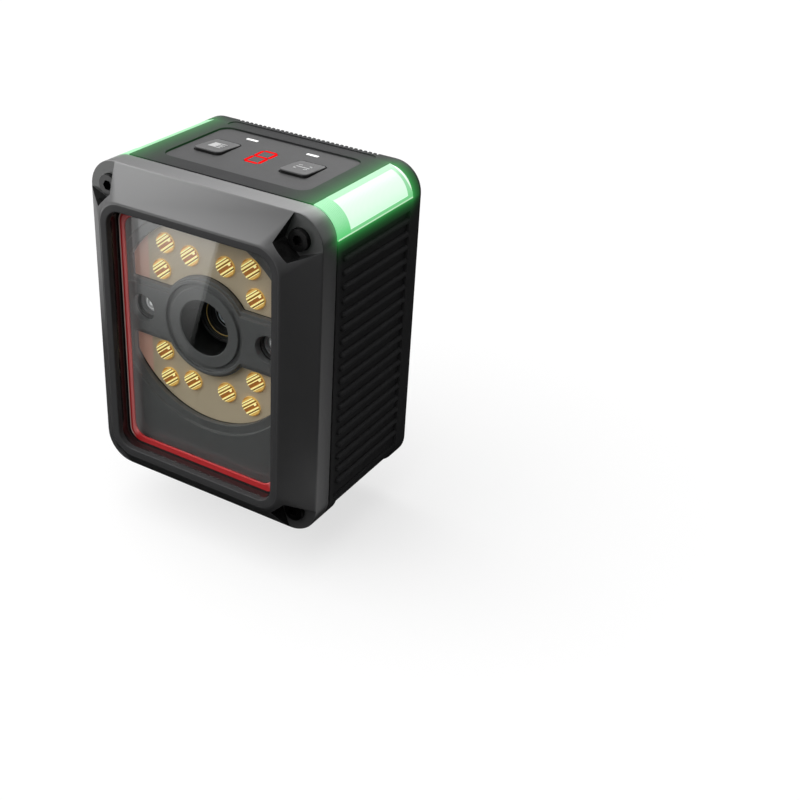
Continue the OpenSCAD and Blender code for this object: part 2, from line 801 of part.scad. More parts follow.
// Inlaid plate with openings for the keys, the digit and the indicators.
module control_panel() color("#6f6f70") plate(z_shelf, z_panel) difference() {
    translate([0, panel_y]) round_rect(panel_w, panel_l, panel_r);
    for (x = [-1, 1]) translate([aside + x * key_x, key_y])
        round_rect(key_w + 2 * key_gap, key_l + 2 * key_gap, key_r + key_gap);
    digit_bars(tight);
    indicator_bars(tight);
}

// Key: a wedge that stands proud at the front and nearly level at the rear.
// A flange under the panel holds it in, and a plunger presses its switch.
key_rear_rise = 0.1;
module key() translate([key_x, key_y, 0]) {
    intersection() {
        plate(z_shelf - tight, z_panel + key_rise) round_rect(key_w, key_l, key_r);
        rotate([90, 0, 90]) translate([0, 0, -key_w]) linear_extrude(2 * key_w) polygon([
            [-key_l, z_shelf - over], [key_l, z_shelf - over],
            [key_l / 2, z_panel + key_rear_rise],
            [-key_l / 2, z_panel + key_rise], [-key_l, z_panel + key_rise]]);
    }
    plate(z_shelf - flange_t, z_shelf)
        round_rect(key_w + 2 * flange_w, key_l + 2 * flange_w, key_r + flange_w);
    post(plunger_r, z_control + switch_h + switch_stem_h + key_travel + slip, z_shelf - tight);
}
module button_left() color("#6a6a6b") translate([aside, 0, 0]) mirror([1, 0, 0]) key();
module button_right() color("#6a6a6b") translate([aside, 0, 0]) key();

module control_board() color("#1d4a34") difference() {
    translate([0, panel_y, 0]) plate(z_control - control_t, z_control)
        round_rect(2 * control_half, 2 * (control_y + control_margin), board_r);
    at_control_posts() post(control_drill_r + slip, z_control - control_t - over, z_control + over);
}

module control_board_screws() color("#8c8c8e") at_control_posts() {
    z = z_control - control_t;
    post(control_drill_r - tight, z, z_control + post_drop - control_cap - slip);
    post(control_head_r, z - control_head_h, z);
}

module tact_switches() color("#303030") for (x = [-1, 1]) translate([aside + x * key_x, key_y, 0]) {
    plate(z_control, z_control + switch_h) square(switch_w, center = true);
    post(switch_stem_r, z_control + switch_h - tight, z_control + switch_h + switch_stem_h);
}

module digit_display() color("#3a1214") plate(z_control, z_shelf - slip)
    translate([aside, digit_y]) square([digit_block_w, digit_block_l], center = true);

module digit_segments() color("#ff1418") plate(z_shelf - slip, z_panel) digit_bars(0);

// Clear bars through the panel, each with a foot under it and a stem down to its lamp.
module indicator_guides() color("#f4f4f0") {
    plate(z_shelf - indicator_foot, z_panel) indicator_bars(0);
    plate(z_shelf - indicator_foot, z_shelf) indicator_bars(indicator_foot);
    plate(z_control, z_shelf) indicator_bars(-indicator_stem_in);
}

module main_board() color("#1d4a34") difference() {
    slab(-main_y - main_t, -main_y) translate([0, (main_high - main_low) / 2])
        round_rect(main_w, main_high + main_low, main_r);
    four(main_screw_x, main_screw_z) rod(small_r + slip, -main_y - main_t - over, -main_y + over);
}

module main_board_screws() color("#8c8c8e") four(main_screw_x, main_screw_z) {
    rod(small_r, -main_y - main_t, -rear_wall - main_cap - slip);
    rod(small_head_r, -main_y - main_t - small_head_h, -main_y - main_t);
}

module processor() color("#26282a") slab(-main_y, -main_y + chip_t) square(chip_w, center = true);

module thermal_pad() color("#9aa7b4") slab(-main_y + chip_t, -main_y + chip_t + pad_t)
    square(chip_w + 2 * pad_out, center = true);

module port_board() color("#1d4a34") plate(z_neck, z_neck + port_board_t)
    translate([0, -port_y])
        round_rect(port_gap + port_flange_d + 2 * port_board_side, port_flange_d, board_r);

// Places of the two ports under the housing.
module at_ports() for (x = [-1, 1]) translate([x * port_gap / 2, -port_y, 0]) children();

// Threaded shell: a tube with a flange, a neck through the wall and an inner step for the insert.
module port_shell(side) translate([side * port_gap / 2, -port_y, 0]) difference() {
    flange_z = z_bottom - seal_washer_t;
    union() {
        post(port_d / 2, flange_z - port_flange_t - port_l, flange_z - tight);
        post(port_flange_d / 2, flange_z - port_flange_t, flange_z);
        post(neck_r, flange_z - tight, z_neck);
    }
    post(core_r, flange_z - port_flange_t - port_l - over, z_neck + over);
}
module power_port_shell() color("#b9b9b6") port_shell(-1);
module network_port_shell() color("#b9b9b6") port_shell(1);

// Places of the contacts in an insert.
function contacts(side) = side < 0
    ? [for (i = [0 : 4]) i < 4 ? contact_circle * [cos(45 + 90 * i), sin(45 + 90 * i)] : [0, 0]]
    : [for (i = [0 : 7]) contact_circle * [cos(22.5 + 45 * i), sin(22.5 + 45 * i)]];

// Moulded insert that fills the shell, with a socket for each contact and a coding groove at its edge.
insert_in = 0.6;
socket_d = 5;
function insert_end() = z_bottom - seal_washer_t - port_flange_t - port_l + insert_in;
module port_insert(side) translate([side * port_gap / 2, -port_y, 0]) difference() {
    post(core_r - tight, insert_end(), z_neck);
    for (p = contacts(side))
        post(contact_r + tight, insert_end() - over, insert_end() + socket_d, p[0], p[1]);
    block([-key_groove_w / 2, -core_r - over, insert_end() - over],
        [key_groove_w / 2, -core_r + key_groove_d, insert_end() + socket_d]);
}
module power_port_insert() color("#222222") port_insert(-1);
module network_port_insert() color("#222222") port_insert(1);

// Gold sleeves deep in the inserts' sockets.
module port_contacts() color("#d9a441") for (side = [-1, 1]) for (p = contacts(side)) difference() {
    x = side * port_gap / 2 + p[0];
    y = p[1] - port_y;
    post(contact_r, insert_end() + contact_in, insert_end() + socket_d, x, y);
    post(contact_bore_r, insert_end(), insert_end() + socket_d - contact_cap, x, y);
}

module port_seals() color("#101010") at_ports() difference() {
    post(port_flange_d / 2 - washer_in, z_bottom - seal_washer_t, z_bottom);
    post(neck_r + tight, z_bottom - seal_washer_t - over, z_bottom + over);
}

module port_nuts() color("#c4c4c0") at_ports() difference() {
    translate([0, 0, z_floor]) cylinder(d = port_gap - nut_gap, h = nut_t, $fn = 6);
    post(neck_r + tight, z_floor - over, z_floor + nut_t + over);
}

main_housing();
front_bezel();
bezel_screws();
bezel_seal();
window_gasket();
window_glass();
optics_carrier();
led_board();
led_reflectors();
led_emitters();
optics_frame();
optics_screws();
frame_screws();
lens_barrel();
lens_glass();
lens_holder();
image_board();
image_sensor();
aimer_left();
aimer_right();
aimer_lenses();
light_pipe_left();
light_pipe_right();
status_board_left();
status_board_right();
status_leds();
control_panel();
button_left();
button_right();
control_board();
control_board_screws();
tact_switches();
digit_display();
digit_segments();
indicator_guides();
main_board();
main_board_screws();
processor();
thermal_pad();
port_board();
power_port_shell();
network_port_shell();
power_port_insert();
network_port_insert();
port_contacts();
port_seals();
port_nuts();
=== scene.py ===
# Dresses the fixed barcode reader, piece by piece, in the order in which it is put together.
# Lengths named here are in millimetres in the part's own frame: the window faces -Y and +Z is up.
import math

import bmesh
import bpy
from mathutils import Matrix, Vector


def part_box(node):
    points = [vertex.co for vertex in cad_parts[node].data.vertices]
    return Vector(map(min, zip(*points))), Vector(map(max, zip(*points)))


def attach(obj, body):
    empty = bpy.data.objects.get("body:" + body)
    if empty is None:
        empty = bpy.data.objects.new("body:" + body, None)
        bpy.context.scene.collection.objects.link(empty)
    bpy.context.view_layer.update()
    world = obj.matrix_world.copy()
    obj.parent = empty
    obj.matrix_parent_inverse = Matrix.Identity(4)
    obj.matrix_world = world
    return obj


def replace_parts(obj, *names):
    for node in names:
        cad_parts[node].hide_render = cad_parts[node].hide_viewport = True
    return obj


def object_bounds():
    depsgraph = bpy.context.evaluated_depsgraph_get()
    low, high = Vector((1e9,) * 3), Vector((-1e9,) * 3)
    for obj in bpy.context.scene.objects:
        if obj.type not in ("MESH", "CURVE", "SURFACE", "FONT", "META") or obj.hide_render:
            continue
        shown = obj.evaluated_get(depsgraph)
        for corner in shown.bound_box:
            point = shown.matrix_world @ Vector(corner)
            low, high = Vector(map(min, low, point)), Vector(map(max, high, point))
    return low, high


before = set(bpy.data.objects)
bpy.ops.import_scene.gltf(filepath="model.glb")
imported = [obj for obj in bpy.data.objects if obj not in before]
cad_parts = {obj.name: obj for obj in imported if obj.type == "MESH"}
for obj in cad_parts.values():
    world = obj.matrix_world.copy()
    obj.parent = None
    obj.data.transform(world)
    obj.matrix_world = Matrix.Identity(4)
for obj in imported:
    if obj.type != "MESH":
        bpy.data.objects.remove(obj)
cad_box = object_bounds()


# Housing
# The deep shell of the reader: die-cast metal with a matt black powder coat, ribbed on both sides.
# Its edges are broken by tumbling, and the front frame is bolted to its open side.
# Around the lit bars along its top edges, the coat carries their green light as a painted glow.
MM = 0.001
CORNER_R = 6.5
COAT_MOTTLE = 3.0
PEEL = 0.22
PEEL_DEPTH = 0.012


def corners(node):
    """A node's lowest and highest corners in millimetres."""
    return [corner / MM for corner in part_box(node)]


HALF_W, REAR_FACE_Y, HALF_H = corners("main_housing")[1]
EDGE_X = HALF_W - CORNER_R
EDGE_Z = HALF_H - CORNER_R


class Wire:
    """A shader node's output. Arithmetic on it adds Math nodes, and node() adds any other kind."""

    def __init__(self, tree, socket=None):
        self.tree = tree
        self.socket = socket

    def node(self, kind, settings=None, inputs=None, output=0):
        made = self.tree.nodes.new(kind)
        for name, value in (settings or {}).items():
            if name == "stops":
                ramp = made.color_ramp.elements
                while len(ramp) < len(value):
                    ramp.new(0.5)
                for stop, (place, colour) in zip(ramp, value):
                    stop.position = place
                    stop.color = (*colour, 1.0)
            else:
                setattr(made, name, value)
        for name, value in (inputs or {}).items():
            self.feed(made.inputs[name], value)
        return Wire(self.tree, made.outputs[output])

    def feed(self, socket, value):
        if isinstance(value, Wire):
            self.tree.links.new(value.socket, socket)
        else:
            socket.default_value = value

    def math(self, operation, *values):
        return self.node("ShaderNodeMath", {"operation": operation}, dict(enumerate(values)))

    def __add__(self, other):
        return self.math("ADD", self, other)

    def __sub__(self, other):
        return self.math("SUBTRACT", self, other)

    def __mul__(self, other):
        return self.math("MULTIPLY", self, other)

    def __rsub__(self, other):
        return self.math("SUBTRACT", other, self)

    __radd__ = __add__
    __rmul__ = __mul__

    def __neg__(self):
        return self.math("MULTIPLY", self, -1.0)

    def __abs__(self):
        return self.math("ABSOLUTE", self)

    def at_least(self, low):
        return self.math("MAXIMUM", self, low)

    def fade(self, start, end):
        """1 up to start, falling smoothly to 0 at end."""
        return self.node(
            "ShaderNodeMapRange",
            {"interpolation_type": "SMOOTHSTEP"},
            {"Value": self, "From Min": start, "From Max": end, "To Min": 1.0, "To Max": 0.0},
        )


def new_finish(name):
    """A material with a Principled shader. Returns it and a wire that starts its nodes."""
    material = bpy.data.materials.new(name)
    material.use_nodes = True
    return material, Wire(material.node_tree)


SOCKETS = {
    "colour": "Base Color",
    "roughness": "Roughness",
    "metallic": "Metallic",
    "gloss": "Specular IOR Level",
    "coat": "Coat Weight",
    "glow": "Emission Color",
    "bump": "Normal",
}


def set_surface(wire, **values):
    """Sets the shader's sockets by their short names. A glow shows as bright as it is written."""
    shader = wire.tree.nodes["Principled BSDF"]
    if "glow" in values:
        shader.inputs["Emission Strength"].default_value = 1.0
    for name, value in values.items():
        wire.feed(shader.inputs[SOCKETS[name]], value)


def grain(wire, size, detail=2.0, stretch=(1.0, 1.0, 1.0)):
    """Noise with features of that size in millimetres, fixed to the piece."""
    place = wire.node("ShaderNodeTexCoord", output="Object")
    scaled = wire.node("ShaderNodeVectorMath", {"operation": "MULTIPLY"}, {0: place, 1: stretch})
    return wire.node(
        "ShaderNodeTexNoise",
        inputs={"Vector": scaled, "Scale": 1.0 / (size * MM), "Detail": detail},
    )


def axes(wire):
    """The three coordinates of a point on the piece, in millimetres."""
    place = wire.node("ShaderNodeTexCoord", output="Object")
    parts = [wire.node("ShaderNodeSeparateXYZ", inputs={0: place}, output=i) for i in range(3)]
    return [part * (1.0 / MM) for part in parts]


def tint(wire, mask, low, high):
    """Blends two colours by a mask. Each is three numbers or a wire that carries a colour."""
    low, high = [c if isinstance(c, Wire) else (*c, 1.0) for c in (low, high)]
    return wire.node(
        "ShaderNodeMix",
        {"data_type": "RGBA"},
        {"Factor": mask, "A": low, "B": high},
        output="Result",
    )


def bump(wire, height, depth):
    """A normal from a height map whose full range is depth millimetres."""
    return wire.node("ShaderNodeBump", inputs={"Height": height, "Distance": depth * MM})


WELD_GAP = 0.001
FLAT_ANGLE = 0.5


def soften(piece, width, segments=2, angle=35.0):
    """Joins up a piece's flat faces, then breaks its sharp edges by that many millimetres."""
    weld = piece.modifiers.new("weld", "WELD")
    weld.merge_threshold = WELD_GAP * MM
    flat = piece.modifiers.new("flat", "DECIMATE")
    flat.decimate_type = "DISSOLVE"
    flat.angle_limit = math.radians(FLAT_ANGLE)
    edge = piece.modifiers.new("edge", "BEVEL")
    edge.width = width * MM
    edge.segments = segments
    edge.limit_method = "ANGLE"
    edge.angle_limit = math.radians(angle)
    edge.miter_outer = "MITER_ARC"


def dress(material, *names, edge=0.0):
    """Gives CAD nodes a material, and broken edges where edge is set."""
    for name in names:
        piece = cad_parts[name]
        piece.data.materials.clear()
        piece.data.materials.append(material)
        if edge:
            soften(piece, edge)


LIT_IN = 1.2
LIT_UP = 0.25
pipe_low, pipe_high = corners("light_pipe_right")
BAR_FRONT_Y = pipe_low.y
BAR_REAR_Y = pipe_high.y
BAR_EDGE_X = pipe_low.x + LIT_IN
BAR_EDGE_Z = EDGE_Z + LIT_UP
REACH_INWARD = 2.4
REACH_BELOW = 1.0
REACH_BEHIND = 1.9
REACH_AHEAD = 1.1
REAR_FADE = (REAR_FACE_Y - 1.0, REAR_FACE_Y - 0.1)
UNLIT = (0.0, 0.0, 0.0)
GLOW_GREEN = (0.03, 0.30, 0.06)


def painted_bar_glow(wire):
    """Painted green glow of the light bars on a point near them: full at their edges, less further off.
    """
    x, y, z = axes(wire)
    away = (
        (BAR_EDGE_X - abs(x)).at_least(0.0) * (1.0 / REACH_INWARD)
        + (BAR_EDGE_Z - z).at_least(0.0) * (1.0 / REACH_BELOW)
        + (y - BAR_REAR_Y).at_least(0.0) * (1.0 / REACH_BEHIND)
        + (BAR_FRONT_Y - y).at_least(0.0) * (1.0 / REACH_AHEAD)
    )
    return tint(wire, wire.math("EXPONENT", -away) * y.fade(*REAR_FADE), UNLIT, GLOW_GREEN)


cast_black, wire = new_finish("cast_black")
mottle = grain(wire, COAT_MOTTLE, detail=4.0)
orange_peel = grain(wire, PEEL, detail=3.0)
set_surface(
    wire,
    colour=tint(wire, mottle, (0.026, 0.026, 0.027), (0.036, 0.036, 0.037)),
    roughness=0.48 + 0.14 * orange_peel,
    gloss=0.04,
    # Painted green glow near the light bars.
    glow=painted_bar_glow(wire),
    bump=bump(wire, orange_peel, PEEL_DEPTH),
)
dress(cast_black, "main_housing", edge=0.18)


# Boards, chips and small screws inside
# Glass-fibre boards under solder mask, moulded chips and a soft pad that leads heat to the rear wall.
# Small zinc-plated screws hold the boards on the housing's bosses and posts.
TRACK_STEP = 2.2
TRACK_EDGE = (0.02, 0.06)
TRACK_H = 0.03
WEAVE = 0.5
MOULD_MOTTLE = 2.5
MOULD_GRAIN = 0.18
MOULD_DEPTH = 0.01
DRAWN_MARK = 0.3
DRAWN_DEPTH = 0.004


def board_finish(name, mask, copper):
    """Solder mask over copper tracks that show as a paler net."""
    material, wire = new_finish(name)
    place = wire.node("ShaderNodeTexCoord", output="Object")
    cells = wire.node(
        "ShaderNodeTexVoronoi",
        {"feature": "DISTANCE_TO_EDGE"},
        {"Vector": place, "Scale": 1.0 / (TRACK_STEP * MM)},
    )
    track = cells.fade(*TRACK_EDGE)
    weave = grain(wire, WEAVE, detail=1.0)
    set_surface(
        wire,
        colour=tint(wire, track * 0.6 + weave * 0.25, mask, copper),
        roughness=0.34 + 0.1 * weave,
        coat=0.2,
        bump=bump(wire, track, TRACK_H),
    )
    return material


def moulded_grain(wire, size=MOULD_GRAIN):
    """A moulding's slight mottle and its fine texture."""
    return grain(wire, MOULD_MOTTLE, detail=3.0), grain(wire, size)


def moulded_finish(name, dark, pale, grain_size=MOULD_GRAIN, roughness=0.5, gloss=0.35):
    """Fine-textured moulding with a slight mottle."""
    material, wire = new_finish(name)
    mottle, texture = moulded_grain(wire, grain_size)
    set_surface(
        wire,
        colour=tint(wire, mottle, dark, pale),
        roughness=roughness - 0.06 + 0.12 * texture,
        gloss=gloss,
        bump=bump(wire, texture, MOULD_DEPTH),
    )
    return material


def metal_finish(name, dark, pale, roughness, stretch=(1.0, 1.0, 1.0)):
    """Bare or plated metal with fine drawing marks."""
    material, wire = new_finish(name)
    marks = grain(wire, DRAWN_MARK, detail=3.0, stretch=stretch)
    set_surface(
        wire,
        colour=tint(wire, marks, dark, pale),
        metallic=1.0,
        roughness=roughness - 0.05 + 0.1 * marks,
        bump=bump(wire, marks, DRAWN_DEPTH),
    )
    return material


board_green = board_finish("board_green", (0.006, 0.05, 0.022), (0.02, 0.13, 0.06))
board_white = board_finish("board_white", (0.72, 0.72, 0.68), (0.82, 0.82, 0.80))
chip_black = moulded_finish("chip_black", (0.015, 0.015, 0.017), (0.03, 0.03, 0.033))
pad_grey = moulded_finish(
    "pad_grey", (0.28, 0.33, 0.40), (0.36, 0.42, 0.48), grain_size=0.4, roughness=0.7
)
zinc_plate = metal_finish("zinc_plate", (0.46, 0.46, 0.45), (0.62, 0.62, 0.60), 0.3)
dress(board_green, "main_board", "image_board", "control_board", "port_board")
dress(board_white, "status_board_left", "status_board_right")
dress(chip_black, "processor", "tact_switches", "image_sensor", edge=0.1)
dress(pad_grey, "thermal_pad", edge=0.15)
dress(zinc_plate, "main_board_screws", "control_board_screws", edge=0.12)
dress(zinc_plate, "frame_screws", "optics_screws", edge=0.12)


# Ports
# Two round ports of nickel-plated brass under the housing, each with a black insert and gold sockets.
# A flat seal and a lock nut inside hold each one in the bottom wall.
PORT_R = 6.0
PORT_BORE_R = 4.6
PORT_NECK_R = 5.0
MOUTH_IN = 0.1
MOUTH_UP = 0.15
THREAD_PITCH = 1.0
THREAD_DEPTH = 0.5
THREAD_RUNOUT = 0.9
THREAD_ROWS = 100
VALLEY_FLAT = 1.25
VALLEY_SLOPE = 3.2
FLANGE_R = 7.2
FLANGE_H = 1.6
UNDER_IN = 0.35
UNDER_UP = 0.3
OVER_EDGE = 0.25
KNURLS = 44
KNURL_DEPTH = 0.16
SEAL_H = 0.6


def grid_mesh(name, rows, wrap_rows=False):
    """A mesh through rows of points, each a closed loop. wrap_rows joins the last row to the first."""
    mesh = bpy.data.meshes.new(name)
    loop = len(rows[0])
    faces = []
    for i in range(len(rows) if wrap_rows else len(rows) - 1):
        low = i * loop
        high = (i + 1) % len(rows) * loop
        faces += [(low + k, low + (k + 1) % loop, high + (k + 1) % loop, high + k) for k in range(loop)]
    mesh.from_pydata([Vector(p) * MM for row in rows for p in row], [], faces)
    return mesh


def add_piece(name, mesh, body, *materials, sharp=38.0):
    """Puts a mesh in the scene on a body, with smooth faces up to an angle."""
    piece = bpy.data.objects.new(name, mesh)
    bpy.context.collection.objects.link(piece)
    for material in materials:
        mesh.materials.append(material)
    mesh.polygons.foreach_set("use_smooth", [True] * len(mesh.polygons))
    mesh.set_sharp_from_angle(angle=math.radians(sharp))
    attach(piece, body)
    return piece


def port_rows(node):
    """Rows of a port's shell: from the mouth up its thread, round its knurled flange, down its bore."""
    low, high = corners(node)
    middle = (low + high) / 2.0
    flange_top = -HALF_H - SEAL_H
    flange_low = flange_top - FLANGE_H
    columns = KNURLS * 4

    def ring(radius, z):
        return [(radius, z)] * columns

    rows = [ring(PORT_BORE_R, low.z), ring(PORT_R - THREAD_DEPTH - MOUTH_IN, low.z)]
    start = low.z + MOUTH_UP
    for i in range(THREAD_ROWS + 1):
        z = start + (flange_low - start) * i / THREAD_ROWS
        runout = min(1.0, (z - low.z) / THREAD_RUNOUT)
        row = []
        for k in range(columns):
            phase = ((z - low.z) / THREAD_PITCH - k / columns) % 1.0
            valley = max(0.0, min(1.0, VALLEY_FLAT - abs(phase - 0.5) * VALLEY_SLOPE))
            row.append((PORT_R - THREAD_DEPTH * (1.0 - (1.0 - valley) * runout), z))
        rows.append(row)
    rows.append(ring(FLANGE_R - UNDER_IN, flange_low))
    for z in (flange_low + UNDER_UP, flange_top - OVER_EDGE):
        rows.append([(FLANGE_R - KNURL_DEPTH * (k // 2 % 2), z) for k in range(columns)])
    rows += [ring(FLANGE_R - OVER_EDGE, flange_top), ring(PORT_NECK_R, flange_top)]
    rows += [ring(PORT_NECK_R, high.z), ring(PORT_BORE_R, high.z)]
    turns = [2.0 * math.pi * k / columns for k in range(columns)]
    return [
        [(middle.x + r * math.cos(t), middle.y + r * math.sin(t), z) for (r, z), t in zip(row, turns)]
        for row in rows
    ]


port_nickel = metal_finish(
    "port_nickel", (0.52, 0.51, 0.48), (0.68, 0.67, 0.63), 0.24, stretch=(1.0, 1.0, 6.0)
)
for node in ("power_port_shell", "network_port_shell"):
    mesh = grid_mesh(node + "_threaded", port_rows(node), wrap_rows=True)
    shell = add_piece(node + "_threaded", mesh, "reader", port_nickel, sharp=30.0)
    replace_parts(shell, node)

contact_gold = metal_finish("contact_gold", (0.72, 0.46, 0.14), (0.86, 0.60, 0.24), 0.22)
insert_black = moulded_finish("insert_black", (0.013, 0.013, 0.014), (0.024, 0.024, 0.026))
seal_rubber = moulded_finish(
    "seal_rubber", (0.008, 0.008, 0.008), (0.015, 0.015, 0.015), roughness=0.62, gloss=0.2
)
dress(port_nickel, "port_nuts", edge=0.15)
dress(insert_black, "power_port_insert", "network_port_insert", edge=0.1)
dress(contact_gold, "port_contacts")
dress(seal_rubber, "port_seals", edge=0.12)


# Control panel
# A grey moulded plate laid into the top wall, with openings for the keys, the digit and the indicators.
# It is bonded to a shelf round its edge and lies a little below the top.
panel_grey = moulded_finish(
    "panel_grey", (0.034, 0.034, 0.035), (0.043, 0.043, 0.044), roughness=0.5, gloss=0.12
)
dress(panel_grey, "control_panel", edge=0.12)


# Keys
# Two moulded keys that stand proud at the front, each held by a flange under the panel.
# A press moves a key down on its switch, which springs it back. Each carries a simple white print.
KEY_L = 8.4
KEY_FALL = 0.6
KEY_SHADE_FROM = 0.22
KEY_SHADE_FADE = 0.08
PRINT_T = 0.03

key_low, key_high = corners("button_right")
key_middle = (key_low + key_high) / 2.0
key_grey, wire = new_finish("key_grey")
x, y, z = axes(wire)
mottle, texture = moulded_grain(wire)
slope = y * (KEY_FALL / KEY_L)
# The keys' sides below the sloping top are painted near black as shade, and only the top keeps the
# grey.
depth = (key_high.z - KEY_FALL * (0.5 - key_middle.y / KEY_L)) - slope - z
tone_with_painted_shade = depth.fade(KEY_SHADE_FROM, KEY_SHADE_FROM + KEY_SHADE_FADE) * (0.85 + 0.3 * mottle)
set_surface(
    wire,
    colour=tint(wire, tone_with_painted_shade, (0.006, 0.006, 0.006), (0.053, 0.053, 0.054)),
    roughness=0.44 + 0.12 * texture,
    gloss=0.25,
    bump=bump(wire, texture, MOULD_DEPTH),
)
dress(key_grey, "button_left", "button_right", edge=0.22)
print_white = moulded_finish(
    "print_white", (0.46, 0.46, 0.46), (0.56, 0.56, 0.56), roughness=0.6, gloss=0.2
)


def closed_prism(work, under, over, finishes=(0, 0, 0)):
    """Adds a prism between two loops of points, with finishes for its base, top and sides."""
    base, top, sides = finishes
    low, high = [[work.verts.new(Vector(p) * MM) for p in loop] for loop in (under, over)]
    work.faces.new(low[::-1]).material_index = base
    work.faces.new(high).material_index = top
    for k in range(len(low)):
        n = (k + 1) % len(low)
        work.faces.new((low[k], low[n], high[n], high[k])).material_index = sides


def mesh_from(name, work):
    """Turns finished mesh work into a mesh of that name."""
    mesh = bpy.data.meshes.new(name)
    work.to_mesh(mesh)
    work.free()
    return mesh


def key_print(name, node, body, marks):
    """Flat marks on a key's sloping top, each a rectangle (x0, y0, x1, y1) from the key's middle."""
    low, high = corners(node)
    middle = (low + high) / 2.0
    work = bmesh.new()

    def on_top(x, y, lift):
        return (middle.x + x, middle.y + y, high.z - KEY_FALL * (y / KEY_L + 0.5) + lift)

    for x0, y0, x1, y1 in marks:
        outline = ((x0, y0), (x1, y0), (x1, y1), (x0, y1))
        closed_prism(work, *[[on_top(x, y, lift) for x, y in outline] for lift in (-PRINT_T, PRINT_T)])
    add_piece(name, mesh_from(name, work), body, print_white)


STROKE = 0.32
SIGN_X = 1.6
SIGN_Y = 1.45
ARM = 0.7
BLOCK_W = 1.7
BAR_STEP = 0.75
QUARTERS = [(sx, sy) for sx in (-1.0, 1.0) for sy in (-1.0, 1.0)]


def in_corner(sx, sy, wide, long):
    """A mark of that size in one corner of a key's sign."""
    x0, x1 = sorted((sx * SIGN_X, sx * (SIGN_X - wide)))
    y0, y1 = sorted((sy * SIGN_Y, sy * (SIGN_Y - long)))
    return x0, y0, x1, y1


scan_mark = [(-SIGN_X, -STROKE / 2.0, SIGN_X, STROKE / 2.0)]
for sx, sy in QUARTERS:
    scan_mark += [in_corner(sx, sy, ARM, STROKE), in_corner(sx, sy, STROKE, ARM)]
card_mark = [(-SIGN_X, -SIGN_Y, -SIGN_X + BLOCK_W, SIGN_Y)]
card_mark += [
    (-SIGN_X + BLOCK_W, y - STROKE / 2.0, SIGN_X, y + STROKE / 2.0)
    for y in (-SIGN_Y + STROKE / 2.0, -BAR_STEP / 2.0, BAR_STEP / 2.0, SIGN_Y - STROKE / 2.0)
]
key_print("left_key_print", "button_left", "left_key", card_mark)
key_print("right_key_print", "button_right", "right_key", scan_mark)


# Digit and indicators
# A seven-bar digit, lit red, and two clear guides that lead light up from the control board.
# The digit's dark block stands on the board, and its face lies flush with the panel.
DIGIT_STROKE = 0.72
DIGIT_GAP = 0.24
DIGIT_RISE = 0.03
HAZE = 0.4

digit_red, wire = new_finish("digit_red")
haze = grain(wire, HAZE)
set_surface(
    wire,
    colour=tint(wire, haze, (0.02, 0.0, 0.0), (0.03, 0.001, 0.001)),
    roughness=0.6,
    gloss=0.0,
    glow=tint(wire, haze, (1.0, 0.004, 0.006), (1.0, 0.010, 0.012)),
)


def digit_bars():
    """The seven lit bars, pointed at both ends, which fill the slots of the panel."""
    low, high = corners("digit_segments")
    middle = (low + high) / 2.0
    across = high.x - low.x - DIGIT_STROKE
    along = (high.y - low.y - DIGIT_STROKE) / 2.0
    bars = [(0.0, i * along, across - DIGIT_GAP, False) for i in (-1, 0, 1)]
    bars += [(i * across / 2.0, j * along / 2.0, along - DIGIT_GAP, True) for i, j in QUARTERS]
    work = bmesh.new()
    w = DIGIT_STROKE / 2.0
    for x, y, length, upright in bars:
        e = length / 2.0
        outline = [(-e, 0.0), (-e + w, -w), (e - w, -w), (e, 0.0), (e - w, w), (-e + w, w)]
        if upright:
            outline = [(-v, u) for u, v in outline]
        placed = [(middle.x + x + u, middle.y + y + v) for u, v in outline]
        closed_prism(work, *[[(*p, z) for p in placed] for z in (low.z, high.z + DIGIT_RISE)])
    return mesh_from("digit_bars", work)


digit = add_piece("digit_lit", digit_bars(), "reader", digit_red)
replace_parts(digit, "digit_segments")
digit_block = moulded_finish("digit_block", (0.03, 0.006, 0.007), (0.06, 0.012, 0.013))
dress(digit_block, "digit_display")
indicator_white, wire = new_finish("indicator_white")
haze = grain(wire, HAZE)
set_surface(
    wire,
    colour=tint(wire, haze, (0.80, 0.80, 0.79), (0.9, 0.9, 0.89)),
    roughness=0.3,
    glow=tint(wire, haze, (0.35, 0.35, 0.35), (0.45, 0.45, 0.45)),
)
dress(indicator_white, "indicator_guides")


# Light bars
# Frosted clear bars along both top edges, moulded round the corner and lit green from behind.
# Each slides into a slot from the front and is held by the frame. Fine ribs cross its front end,
# and a bright pad inside a narrow border spreads the light behind them.
BAR_T = 1.8
BAR_LOW = 2.0
BAR_HIGH = 85.0
BAR_STEPS = 24
BAND_L = 4.5
BAND_RIBS = 9
BAND_RIB_D = 0.08
# One rib as shares of the ribs' pitch, each with the depth of the groove there.
RIB_FORM = ((0.0, 0.0), (0.15, BAND_RIB_D), (0.4, BAND_RIB_D), (0.55, 0.0))
BORDER = 1.0
BORDER_TOP = 1.5
BORDER_D = 0.10
LINE_W = 0.3
CORE_REAR = 2.0
CORE_STEPS = 8
RIM_LOW = 16.0
RIM_HIGH = 84.0
RIM_L = 0.9
RIM_MIN = 0.05
END_DROP = 0.12
FROST = 0.35
FROST_DEPTH = 0.01
HATCH_STEP = 0.45
HATCH_SLANT = 0.6


def bar_finish(name, upper, lower, base, hatch):
    """Frosted plastic lit from behind, from an upper to a lower colour, with a fine slanting hatch."""
    material, wire = new_finish(name)
    x, y, z = axes(wire)
    frost = grain(wire, FROST, detail=1.0)
    lines = wire.math("SINE", (y + x * HATCH_SLANT - z * HATCH_SLANT) * (2.0 * math.pi / HATCH_STEP))
    lit = z.fade(EDGE_Z, EDGE_Z + CORNER_R * 0.8) + (frost - 0.5) * 0.2 + lines * hatch
    set_surface(
        wire,
        colour=base,
        roughness=0.3 + 0.1 * frost,
        gloss=0.2,
        glow=tint(wire, lit, upper, lower),
        bump=bump(wire, frost, FROST_DEPTH),
    )
    return material


